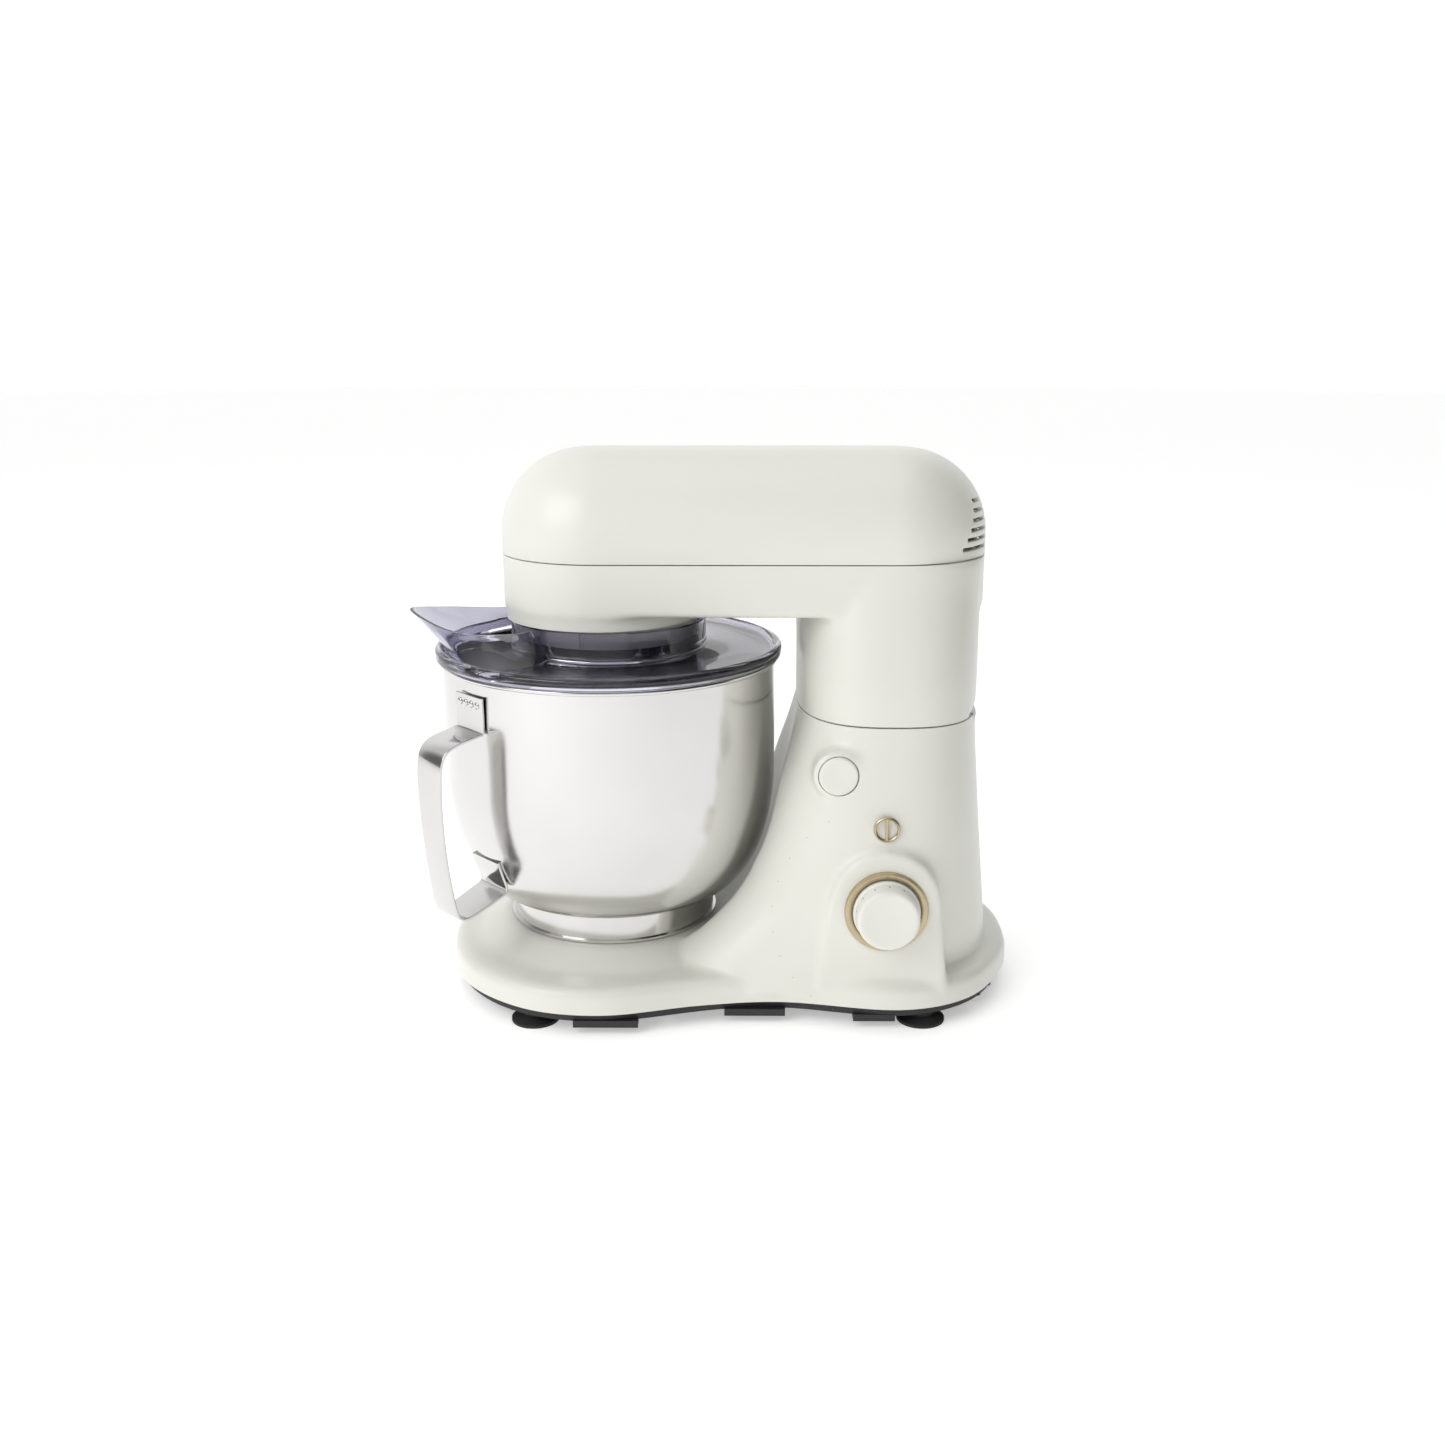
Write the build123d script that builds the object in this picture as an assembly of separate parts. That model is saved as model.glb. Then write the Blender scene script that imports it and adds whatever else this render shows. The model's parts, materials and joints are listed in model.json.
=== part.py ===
from build123d import *

import math
import os

# Tilt-head stand mixer.  Millimetres, +Z up, the table at Z = 0.
# +X runs from the bowl to the pedestal, -Y is the side with the controls.
# Every sub-part is modelled about the mixing axis (x = 0, y = 0) and shifted
# along X on export, so that the whole mixer is centred on the origin.

# ---- driving dimensions -------------------------------------------------
SHIFT_X = -67.3
WALL = 3.0

BASE_REAR_X = 263.0
BASE_FRONT_X = -107.0
SKIRT_BOTTOM_Z = 14.0
SKIRT_TOP_Z = 30.0
SKIRT_ROUND = 5.0
PLATE_BOTTOM_Z = 8.0
SEAT_TOP_Z = 41.5
SEAT_CONE_R = 98.0
SEAT_TOP_R = 72.0

SEAM_Z = 187.5
SEAM_GAP = 1.0
HEAD_SEAM_Z = 283.5
HEAD_SEAM_GAP = 0.6
HEAD_TOP_Z = 348.0
HEAD_FRONT_X = -66.5
HEAD_REAR_X = 239.5
HEAD_HALF_W = 62.7
HEAD_ROUND = 52.0
ARM_UNDER_Z = 250.7
DRUM_BOTTOM_Z = 242.0
DRUM_BOTTOM_R = 61.0
DRUM_CENTRE_X = HEAD_FRONT_X + HEAD_HALF_W

HINGE_X = 224.0
HINGE_Z = SEAM_Z
HINGE_R = 8.0
HINGE_PIN_R = 4.0
KNUCKLE_INNER = 20.0
KNUCKLE_OUTER = 44.0
TILT_MAX_DEG = 40.0

BOWL_R = 107.3
BOWL_WALL = 1.0
BOWL_RIM_Z = 215.0
BOWL_BEND_Z = 142.0
BOWL_FLOOR_Z = 60.0
BOWL_FLOOR_R = 66.5
FOOT_RING_R = 67.0
FOOT_RING_BOTTOM_Z = 42.0
HANDLE_AZIMUTH = 223.0
HANDLE_WIDTH = 28.0
HANDLE_THICK = 1.8

GUARD_R = 111.5
GUARD_BOTTOM_Z = 217.4
GUARD_TOP_Z = 224.8
GUARD_COLLAR_R = 62.5
GUARD_COLLAR_TOP_Z = 241.2
GUARD_WALL = 2.2

GEAR_MODULE = 1.25
RING_TEETH = 60
PLANET_TEETH = 16
MAIN_TEETH = 60
PINION_TEETH = 12
BACKLASH = 0.30
PLANET_OFFSET = GEAR_MODULE * (RING_TEETH - PLANET_TEETH) / 2
LAYSHAFT_X = GEAR_MODULE * (MAIN_TEETH + PINION_TEETH) / 2
MOTOR_X = 170.0
FRAME_BOTTOM_Z = 256.0
FRAME_TOP_Z = 262.0
SMALL_PULLEY_R = 7.5
LARGE_PULLEY_R = 30.0
PULLEY_BOTTOM_Z = 296.0
PULLEY_TOP_Z = 308.0
BELT_GAP = 0.25
BELT_THICK = 1.8
RUNNING_GAP = 0.05

KNOB_X = 173.8
KNOB_Z = 77.0
BUTTON_X = 144.1
BUTTON_Z = 158.4
BUTTON_R = 12.0
PAD_FACE_Y = -85.0
BOSS_FACE_Y = -99.0
BADGE_FACE_Y = -92.6

FOOT_SPOTS = [(-43.7, -88.8), (-43.7, 88.8), (198.3, -87.1), (198.3, 87.1)]
SEAT_SCREW_SPOTS = [(0.0, 40.0), (34.6, -20.0), (-34.6, -20.0)]
SCREW_SPOTS = [(-88.0, -40.0), (-88.0, 40.0), (40.0, -92.0), (40.0, 92.0), (235.0, -68.0), (235.0, 68.0)]
FRAME_SCREW_SPOTS = [(66.0, -36.0), (66.0, 36.0), (112.0, -40.0), (112.0, 40.0)]
COVER_SCREW_SPOTS = [(-48.0, 0.0), (110.0, -52.0), (110.0, 52.0), (226.0, 0.0)]


# ---- small builders -----------------------------------------------------
def disc(radius, z0, z1, x=0.0, y=0.0):
    """Solid round bar along Z between two heights."""
    return Pos(x, y, z0) * Cylinder(radius, z1 - z0, align=(Align.CENTER, Align.CENTER, Align.MIN))


def tube(outer, inner, z0, z1, x=0.0, y=0.0):
    """Round tube along Z between two heights."""
    return disc(outer, z0, z1, x, y) - disc(inner, z0 - 1, z1 + 1, x, y)


def cone(bottom, top, z0, z1, x=0.0, y=0.0):
    """Truncated cone along Z between two heights."""
    return Pos(x, y, z0) * Cone(bottom, top, z1 - z0, align=(Align.CENTER, Align.CENTER, Align.MIN))


def block(x0, x1, y0, y1, z0, z1):
    """Box between two corners."""
    return Pos((x0 + x1) / 2, (y0 + y1) / 2, (z0 + z1) / 2) * Box(x1 - x0, y1 - y0, z1 - z0)


def rod_y(radius, y0, y1, x, z):
    """Round bar along Y between two stations."""
    bar = Cylinder(radius, y1 - y0, align=(Align.CENTER, Align.CENTER, Align.MIN))
    return Pos(x, y0, z) * Rot(X=-90) * bar


def tube_y(outer, inner, y0, y1, x, z):
    """Round tube along Y between two stations."""
    return rod_y(outer, y0, y1, x, z) - rod_y(inner, y0 - 1, y1 + 1, x, z)


def prism_y(points, y0, y1):
    """Polygon in X and Z, given thickness along Y."""
    face = make_face(Polyline([(x, 0, z) for x, z in points], close=True))
    solid = extrude(face, amount=y1 - y0, dir=(0, 1, 0))
    return Pos(0, y0, 0) * solid


def turned(points):
    """Solid of revolution about the mixing axis from radius and height pairs."""
    face = make_face(Polyline([(r, 0, z) for r, z in points], close=True))
    return revolve(face, axis=Axis.Z, revolution_arc=360)


def joined(pieces):
    """Union of a list of pieces."""
    whole = pieces[0]
    for piece in pieces[1:]:
        whole = whole + piece
    return whole


def save(name, *pieces):
    """Writes one node, shifted so that the whole mixer is centred."""
    solids = [solid for piece in pieces for solid in (Pos(SHIFT_X, 0, 0) * piece).solids()]
    export_step(Compound(solids), f"parts/{name}.step")


# ---- plan shapes --------------------------------------------------------
OUTLINE_STEPS = 48
BASE_SIDE = [(-93.0, 62.0), (-51.0, 103.0), (0.0, 114.0), (60.0, 99.5), (112.0, 94.0)]
BASE_SIDE += [(183.0, 105.0), (229.0, 86.0), (257.0, 40.0)]


def base_outline(inset, z):
    """Closed waisted outline of the base, moved inwards by an inset."""
    loop = [(BASE_FRONT_X, 0.0)] + [(x, -y) for x, y in BASE_SIDE] + [(BASE_REAR_X, 0.0)]
    loop += [(x, y) for x, y in reversed(BASE_SIDE)]
    outline = Spline(loop, periodic=True)
    points = []
    for step in range(OUTLINE_STEPS):
        share = step / OUTLINE_STEPS
        spot = outline @ share
        along = outline % share
        points.append((spot.X - inset * along.Y, spot.Y + inset * along.X, z))
    return make_face(Spline(points, periodic=True))


def stadium(inset, z):
    """Round-ended outline of the head at its seam."""
    length = HEAD_REAR_X - HEAD_FRONT_X - 2 * inset
    middle = (HEAD_REAR_X + HEAD_FRONT_X) / 2
    return Pos(middle, 0, z) * SlotOverall(length, 2 * (HEAD_HALF_W - inset))


def rounded_section(z, rear, front, half_width, exponent, inset):
    """Superellipse face, the plan section of the column or the neck."""
    middle = (rear + front) / 2
    half_length = (rear - front) / 2 - inset
    half_width = half_width - inset
    points = []
    for step in range(28):
        angle = 2 * math.pi * step / 28
        c = math.cos(angle)
        s = math.sin(angle)
        x = middle + half_length * math.copysign(abs(c) ** (2 / exponent), c)
        y = half_width * math.copysign(abs(s) ** (2 / exponent), s)
        points.append((x, y, z))
    return make_face(Spline(points, periodic=True))


# height, rear x, front x, half width, exponent
COLUMN = [
    (20.0, 249.5, 4.0, 98.0, 2.4),
    (49.0, 247.0, 45.8, 97.0, 2.5),
    (74.0, 244.5, 73.0, 96.0, 2.5),
    (98.0, 242.2, 88.0, 94.5, 2.5),
    (120.0, 240.0, 98.5, 92.5, 2.6),
    (142.0, 238.0, 106.5, 89.5, 2.7),
    (165.0, 236.2, 115.0, 85.5, 2.7),
    (SEAM_Z - SEAM_GAP / 2, 235.1, 121.5, 81.0, 2.7),
]
SCOOP = [(74.0, 24.0), (76.0, 41.5), (84.0, 50.0), (98.0, 70.0), (108.5, 94.0), (114.0, 115.0)]
SCOOP += [(116.5, 142.0), (119.5, 165.0), (121.5, 187.0), (121.5, 200.0)]
NECK = [
    (SEAM_Z + SEAM_GAP / 2, 235.1, 121.5, 81.0, 2.7),
    (212.0, 235.5, 121.5, 78.5, 2.7),
    (238.0, 236.0, 121.0, 73.0, 2.6),
    (264.0, 236.8, 119.5, 66.0, 2.5),
    (HEAD_SEAM_Z - HEAD_SEAM_GAP, 238.5, 118.0, 62.0, 2.5),
]


def lofted(table, inset):
    """Smooth body through a table of plan sections."""
    return loft([rounded_section(*row, inset) for row in table])


def scoop(extra):
    """Round hollow that the column leaves around the bowl."""
    points = [(0.0, SCOOP[0][1])] + [(r + extra, z) for r, z in SCOOP] + [(0.0, SCOOP[-1][1])]
    return turned(points)


def hinge_clearance(gap):
    """Round bay that the hinge knuckles turn in."""
    reach = KNUCKLE_OUTER + gap
    return rod_y(HINGE_R + gap, -reach, reach, HINGE_X, HINGE_Z)


# ---- stand --------------------------------------------------------------
def knob_boss(grow):
    """Arched boss behind the speed knob."""
    arch = ThreePointArc((139 - grow, 0, 84), (KNOB_X, 0, 112 + grow), (207.5 + grow, 0, 84))
    foot = Polyline([(207.5 + grow, 0, 84), (213 + grow, 0, 29), (133 - grow, 0, 29), (139 - grow, 0, 84)])
    face = make_face([arch, foot])
    reach = BOSS_FACE_Y - grow
    return Pos(0, reach, 0) * extrude(face, amount=-60 - reach, dir=(0, 1, 0))


def pedestal_outer():
    """Outside form of the base, the seat cone, the column and the control pads."""
    slab = extrude(base_outline(0, SKIRT_BOTTOM_Z), amount=SKIRT_TOP_Z - SKIRT_BOTTOM_Z, dir=(0, 0, 1))
    slab = fillet(slab.faces().sort_by(Axis.Z)[-1].edges(), SKIRT_ROUND)
    seat = cone(SEAT_CONE_R, SEAT_TOP_R, SKIRT_TOP_Z - 2, SEAT_TOP_Z)
    column = lofted(COLUMN, 0) - scoop(0)
    pad = rod_y(BUTTON_R + 3.5, PAD_FACE_Y, -60, BUTTON_X, BUTTON_Z)
    return slab + seat + column + pad + knob_boss(0)


def pedestal_inner():
    """Hollow inside the pedestal, open at the bottom."""
    slab = extrude(base_outline(WALL, SKIRT_BOTTOM_Z - 2), amount=SKIRT_TOP_Z - SKIRT_BOTTOM_Z - 1, dir=(0, 0, 1))
    seat = cone(SEAT_CONE_R - 3, SEAT_TOP_R - 3, SKIRT_TOP_Z - 6, SEAT_TOP_Z - WALL)
    column = lofted(COLUMN, WALL) - scoop(WALL)
    column = column & block(-150, 300, -150, 150, 0, SEAM_Z - SEAM_GAP / 2 - WALL)
    boss = knob_boss(-WALL) & block(100, 250, BOSS_FACE_Y + WALL, -60, 26, 120)
    pad = rod_y(BUTTON_R + 0.4, PAD_FACE_Y - 10, -60, BUTTON_X, BUTTON_Z)
    return slab + seat + column + boss + pad


def pedestal_shell():
    """Moulded body of the stand."""
    shell = pedestal_outer() - pedestal_inner() - hinge_clearance(0.6)
    shell = shell - block(HINGE_X - 6, HINGE_X + 20, -20.6, 20.6, HINGE_Z - 10.6, SEAM_Z + 1)
    shell = shell - block(196, HINGE_X, -20.6, 20.6, SEAM_Z - 10, SEAM_Z + 1)
    shell = shell - block(134, 158, -4, 12, 170, 200)
    shell = shell - rod_y(4.6, -120, -60, KNOB_X, KNOB_Z)
    shell = shell - Pos(240, 0, 60) * Rot(Y=90) * Cylinder(7.0, 30)
    shell = shell - Pos(254.5, 0, 60) * Rot(Y=90) * Cylinder(9.3, 20)
    for x, y in SEAT_SCREW_SPOTS:
        shell = shell - disc(2.2, 30, 60, x, y)
    for x, y in [(184, -12), (184, 12)]:
        shell = shell - disc(2.6, 175, 195, x, y)
    return shell


def base_plate():
    """Black under-plate with edge pads and a locating rib."""
    plate = extrude(base_outline(4.5, PLATE_BOTTOM_Z), amount=SKIRT_BOTTOM_Z - PLATE_BOTTOM_Z, dir=(0, 0, 1))
    for x, half_length, edge in [(2, 20, 104), (94, 19, 87), (168, 13, 94)]:
        for side in (-1, 1):
            plate = plate + block(x - half_length, x + half_length, side * edge - 7, side * edge + 3, 4.5, 9)
    for x, y in FOOT_SPOTS:
        plate = plate - disc(2.6, 0, 20, x, y)
    for x, y in SCREW_SPOTS:
        plate = plate - disc(2.1, 0, 20, x, y)
    return plate


def suction_foot(x, y):
    """One rubber suction foot with a hollow underside."""
    points = [(11.5, 0), (15.0, 0), (15.0, 1.8), (10.0, 3.6), (8.0, 4.6), (8.0, 8.0), (0, 8.0), (0, 2.4)]
    return Pos(x, y, 0) * turned(points) - disc(1.8, 5, 9, x, y)


def foot_screw(x, y):
    """Screw that holds one foot, driven from inside."""
    return disc(1.8, 5, 14, x, y) + disc(4.0, 14, 16.5, x, y)


def base_screw(x, y):
    """Self-tapping screw from the plate into the shell's post."""
    return disc(2.1, 8, 24, x, y) + disc(4.0, 5.8, 8, x, y)


def screw_post(x, y):
    """Post inside the shell that takes a base screw."""
    return tube(5.0, 2.1, SKIRT_BOTTOM_Z, SKIRT_TOP_Z - 2.5, x, y)


def bowl_seat():
    """Bayonet seat that the bowl's foot locks onto."""
    seat = tube(60.0, 14.0, SEAT_TOP_Z, 49.5)
    seat = seat - tube(54.0, 16.0, 45.0, 51.0)
    lug_ring = tube(64.4, 59.0, 47.0, 49.5)
    for step in range(3):
        wedge = Rot(Z=120 * step) * block(0, 80, -22, 22, 46, 50)
        seat = seat + (lug_ring & wedge)
    for x, y in SEAT_SCREW_SPOTS:
        seat = seat - disc(2.2, 30, 60, x, y)
    return seat


def seat_screw(x, y):
    """Screw through the seat into the shell."""
    return disc(2.2, 34, 45, x, y) + disc(4.2, 45, 47.6, x, y)


def dial_bezel():
    """Metal ring around the speed knob."""
    ring = tube_y(25.5, 21.0, BOSS_FACE_Y - 2.6, BOSS_FACE_Y, KNOB_X, KNOB_Z)
    return ring - rod_y(1.3, BOSS_FACE_Y - 3, BOSS_FACE_Y - 2.0, KNOB_X, KNOB_Z + 23.2)


def side_badge():
    """Plain ring and bar ornament on the column."""
    x, z = 173.4, 127.4
    ring = tube_y(8.0, 6.4, BADGE_FACE_Y - 1.8, BADGE_FACE_Y, x, z)
    bar = block(x - 0.8, x + 0.8, BADGE_FACE_Y - 1.6, BADGE_FACE_Y, z - 6.6, z + 6.6)
    return ring + bar


def badge_backing():
    """Flat on the column that the ornament sits on."""
    return rod_y(9.5, BADGE_FACE_Y, BADGE_FACE_Y + 3.0, 173.4, 127.4)


def speed_switch():
    """Rotary switch behind the knob, with its threaded nose."""
    body = block(KNOB_X - 18, KNOB_X + 18, -76, -56, KNOB_Z - 18, KNOB_Z + 18)
    nose = rod_y(8.0, -90, -76, KNOB_X, KNOB_Z)
    return body + nose - rod_y(3.05, -92, -58, KNOB_X, KNOB_Z)


def control_board():
    """Speed control circuit board with its tall parts."""
    board = block(150, 196, -52, -50, 46, 130)
    for x, z, size in [(160, 60, 12), (180, 70, 16), (165, 100, 14), (184, 112, 10)]:
        board = board + block(x - size / 2, x + size / 2, -50, -50 + size, z - size / 2, z + size / 2)
    return board


def cord_gland():
    """Inlet bush sunk in the rear wall, blanked because no lead is fitted."""
    flange = Pos(245.4, 0, 60) * Rot(Y=90) * Cylinder(9.0, 1.6)
    nose = Pos(236.0, 0, 60) * Rot(Y=90) * Cylinder(6.9, 20.0)
    return flange + nose - Pos(236.0, 0, 60) * Rot(Y=90) * Cylinder(3.6, 40.0)


def hinge_block():
    """Bolted block that carries the middle hinge knuckle."""
    plate = block(176, 214, -19.6, 19.6, 174.0, SEAM_Z - SEAM_GAP / 2 - WALL)
    arm = prism_y([(196, 174), (214, 174), (227, 180), (231, 187), (224, 194.5), (217.5, 189), (205, 183.8)], -19.6, 19.6)
    knuckle = rod_y(HINGE_R, -19.6, 19.6, HINGE_X, HINGE_Z)
    body = plate + arm + knuckle
    body = body - rod_y(HINGE_PIN_R, -60, 60, HINGE_X, HINGE_Z)
    for y in (-12, 12):
        body = body - disc(2.6, 170, 190, 184, y)
    return body


def hinge_pin():
    """Steel pin that the head tilts on."""
    return rod_y(HINGE_PIN_R, -KNUCKLE_OUTER + 1, KNUCKLE_OUTER - 1, HINGE_X, HINGE_Z)


def hinge_bolt(y):
    """Bolt through the deck into the hinge block."""
    deck = SEAM_Z - SEAM_GAP / 2
    return disc(2.6, 175, deck, 184, y) + disc(4.5, deck, deck + 1.6, 184, y)


def button_guide():
    """Sleeve inside the pedestal that guides the release rod."""
    sleeve = tube_y(8.0, 4.1, -66, -40, BUTTON_X, BUTTON_Z)
    web = block(BUTTON_X - 4, BUTTON_X + 4, -60, -46, BUTTON_Z + 7, SEAM_Z - SEAM_GAP / 2 - WALL)
    return sleeve + web


# ---- head ---------------------------------------------------------------
def head_cover():
    """Upper shell of the head with its rear vents."""
    bottom = HEAD_SEAM_Z
    outer = extrude(stadium(0, bottom), amount=HEAD_TOP_Z - bottom, dir=(0, 0, 1))
    outer = fillet(outer.faces().sort_by(Axis.Z)[-1].edges(), HEAD_ROUND)
    inner = extrude(stadium(WALL, bottom - 1), amount=HEAD_TOP_Z - bottom + 1 - WALL, dir=(0, 0, 1))
    inner = fillet(inner.faces().sort_by(Axis.Z)[-1].edges(), HEAD_ROUND - WALL)
    shell = outer - inner
    for step in range(6):
        z = 288.5 + 5.6 * step
        reach = 46.0 - 3.2 * step
        slot = block(200, 260, -reach, reach, z, z + 2.6)
        for rib in (-1, 0, 1):
            slot = slot - block(200, 260, rib * 16 - 1.2, rib * 16 + 1.2, z - 1, z + 4)
        shell = shell - slot
    return shell


def head_body_outer():
    """Outside form of the drum, the arm and the neck."""
    top = HEAD_SEAM_Z - HEAD_SEAM_GAP
    arm = extrude(stadium(0, ARM_UNDER_Z), amount=top - ARM_UNDER_Z, dir=(0, 0, 1))
    drum = cone(DRUM_BOTTOM_R, DRUM_BOTTOM_R + 1.4, DRUM_BOTTOM_Z, 270, DRUM_CENTRE_X)
    return arm + drum + lofted(NECK, 0)


def head_body_inner():
    """Hollow inside the drum, the arm and the neck."""
    top = HEAD_SEAM_Z
    arm = extrude(stadium(WALL, ARM_UNDER_Z + WALL), amount=top - ARM_UNDER_Z, dir=(0, 0, 1))
    drum = cone(DRUM_BOTTOM_R - WALL, DRUM_BOTTOM_R - WALL + 1.4, DRUM_BOTTOM_Z + WALL, 272, DRUM_CENTRE_X)
    hole = disc(49.5, DRUM_BOTTOM_Z - 2, DRUM_BOTTOM_Z + WALL + 1)
    neck = lofted([(SEAM_Z - 2, *NECK[0][1:])] + NECK, WALL)
    return arm + drum + hole + neck


def tilt_relief():
    """Wedge behind the hinge that lets the neck swing back."""
    low = SEAM_Z - 1
    rise = 24 * math.tan(math.radians(TILT_MAX_DEG + 4))
    return prism_y([(HINGE_X - 1, low), (HINGE_X + 23, low), (HINGE_X + 23, low + rise)], -60, 60)


def head_body():
    """Lower shell of the head: drum, arm and neck in one moulding."""
    shell = head_body_outer() - head_body_inner() - hinge_clearance(0.6) - tilt_relief()
    for x, y in FRAME_SCREW_SPOTS:
        shell = shell + disc(6.0, ARM_UNDER_Z + 1, FRAME_BOTTOM_Z, x, y) - disc(2.0, 252, 270, x, y)
    return shell


def frame_outline(z0, z1):
    """Round-ended plate that carries the gears and the motor."""
    plate = Pos(76, 0, 0) * SlotOverall(252, 100)
    return Pos(0, 0, z0) * extrude(plate, amount=z1 - z0, dir=(0, 0, 1))


def head_frame():
    """Cast frame: gear plate, motor mounting, two legs and the outer hinge knuckles."""
    frame = frame_outline(FRAME_BOTTOM_Z, FRAME_TOP_Z)
    for side in (-1, 1):
        y0, y1 = sorted((side * 34.5, side * KNUCKLE_OUTER))
        leg = prism_y([(186, 258), (198, 258), (220, 190), (207, 190.5)], y0, y1)
        leg = leg + prism_y([(207, 190.5), (217, 191), (226, 195), (231, 189), (225, 187)], y0, y1)
        k0, k1 = sorted((side * (KNUCKLE_INNER + 0.4), side * KNUCKLE_OUTER))
        leg = leg + rod_y(HINGE_R, k0, k1, HINGE_X, HINGE_Z)
        leg = leg + block(208, 219, k0, k1, 190.5, 196)
        frame = frame + leg
    frame = frame - rod_y(HINGE_PIN_R + RUNNING_GAP, -60, 60, HINGE_X, HINGE_Z)
    frame = frame - disc(16.0, 250, 270) - disc(9.0, 250, 270, LAYSHAFT_X)
    frame = frame - disc(6.5, 250, 270, MOTOR_X)
    for x, y in FRAME_SCREW_SPOTS:
        frame = frame - disc(2.2, 250, 270, x, y)
    return frame


def gear_cover():
    """Bridge above the main gear that carries the upper bearings."""
    bridge = block(-22, 62, -50, 50, 290.0, 293.0)
    for x in (-14, 54):
        for y in (-46, 46):
            bridge = bridge + disc(3.6, FRAME_TOP_Z, 290.5, x, y)
    return bridge - disc(11.0, 285, 300) - disc(9.0, 285, 300, LAYSHAFT_X)


def neck_plate():
    """Cover under the neck, notched for the hinge, with the lock tongue."""
    plate = extrude(rounded_section(189.6, 235.1, 121.5, 81.0, 2.7, WALL + 0.2), amount=2.0, dir=(0, 0, 1))
    plate = plate - block(180, 250, -KNUCKLE_OUTER - 1, KNUCKLE_OUTER + 1, 180, 200)
    plate = plate & block(100, 214, -100, 100, 180, 200)
    tongue = block(143, 151, 0, 8, 172, 190)
    return plate + tongue


def gear_teeth(teeth, addendum, dedendum, thicken, phase_deg):
    """Flat face of an involute gear, centred on the origin."""
    pitch_r = GEAR_MODULE * teeth / 2
    base_r = pitch_r * math.cos(math.radians(20))
    tip_r = pitch_r + addendum
    root_r = pitch_r - dedendum
    pitch_angle = math.acos(base_r / pitch_r)
    half = math.pi / (2 * teeth) + thicken / (2 * pitch_r) + math.tan(pitch_angle) - pitch_angle
    flank = []
    for step in range(5):
        r = root_r + (tip_r - root_r) * step / 4
        alpha = math.acos(min(1.0, base_r / r))
        flank.append((r, half - (math.tan(alpha) - alpha)))
    points = []
    for tooth in range(teeth):
        centre = 2 * math.pi * tooth / teeth + math.radians(phase_deg)
        for r, a in flank:
            points.append((r * math.cos(centre - a), r * math.sin(centre - a)))
        for r, a in reversed(flank):
            points.append((r * math.cos(centre + a), r * math.sin(centre + a)))
    return make_face(Polyline(points, close=True))


def outer_gear(teeth, z0, z1, bore, x, phase_deg):
    """Spur gear with outside teeth."""
    face = gear_teeth(teeth, 0.8 * GEAR_MODULE, 1.1 * GEAR_MODULE, -BACKLASH / 2, phase_deg)
    wheel = extrude(face, amount=z1 - z0, dir=(0, 0, 1))
    return Pos(x, 0, z0) * wheel - disc(bore, z0 - 1, z1 + 1, x)


def ring_gear():
    """Fixed gear with inside teeth that the planet gear rolls around."""
    space = gear_teeth(RING_TEETH, 1.1 * GEAR_MODULE, 0.8 * GEAR_MODULE, BACKLASH / 2, 0)
    ring = disc(45.0, 246.2, FRAME_BOTTOM_Z)
    return ring - Pos(0, 0, 245) * extrude(space, amount=15, dir=(0, 0, 1))


def hub_collar():
    """Ribbed collar under the drum that the splash guard locks onto."""
    collar = tube(56.5, 50.0, 229.5, DRUM_BOTTOM_Z)
    for step in range(12):
        rib = block(55.5, 58.6, -1.4, 1.4, 231.0, 240.5)
        collar = collar + Rot(Z=30 * step + 15) * rib
    return collar


def motor_stator():
    """Laminated stack around the armature."""
    stack = block(-32, 32, -32, 32, 218, 246)
    stack = fillet(stack.edges().filter_by(Axis.Z), 9)
    stack = stack - disc(20.0, 200, 260)
    for x in (-25, 25):
        for y in (-25, 25):
            stack = stack - disc(2.1, 200, 260, x, y)
    return Pos(MOTOR_X, 0, 0) * stack


def armature():
    """Slotted core of the motor rotor."""
    core = tube(19.4, 4.0, 218.0, 246.0)
    for step in range(12):
        core = core - Rot(Z=30 * step) * disc(1.6, 217, 247, 17.4)
    return Pos(MOTOR_X, 0, 0) * core


def cooling_fan():
    """Fan above the frame that blows through the rear vents."""
    fan = tube(28.0, 4.0, 266.0, 268.0)
    for step in range(12):
        fan = fan + Rot(Z=30 * step) * block(9.0, 27.5, -0.8, 0.8, 267.0, 280.0)
    fan = fan + tube(8.0, 4.0, 266.0, 276.0)
    return Pos(MOTOR_X, 0, 0) * fan


def field_winding(side, z0, z1):
    """One copper coil end on the stack."""
    coil = tube(30.0, 21.0, z0, z1)
    coil = coil & block(-19, 19, *sorted((side * 8, side * 34)), z0, z1)
    return Pos(MOTOR_X, 0, 0) * coil


def motor_end(z0, z1, bearing_r):
    """Motor end bracket."""
    end = block(-33, 33, -33, 33, z0, z1)
    end = fillet(end.edges().filter_by(Axis.Z), 9) - disc(bearing_r, z0 - 1, z1 + 1)
    for x in (-25, 25):
        for y in (-25, 25):
            end = end - disc(2.1, z0 - 1, z1 + 1, x, y)
    return Pos(MOTOR_X, 0, 0) * end


def motor_bolt(x, y):
    """Long bolt through the motor."""
    return disc(2.1, 199, FRAME_BOTTOM_Z, MOTOR_X + x, y) + disc(4, 196.5, 199, MOTOR_X + x, y)


def brush_holder(side):
    """Brush holder beside the commutator."""
    x0, x1 = sorted((side * 11.4, side * 31))
    return Pos(MOTOR_X, 0, 0) * block(x0, x1, -5, 5, 208.5, 215.5)


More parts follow.
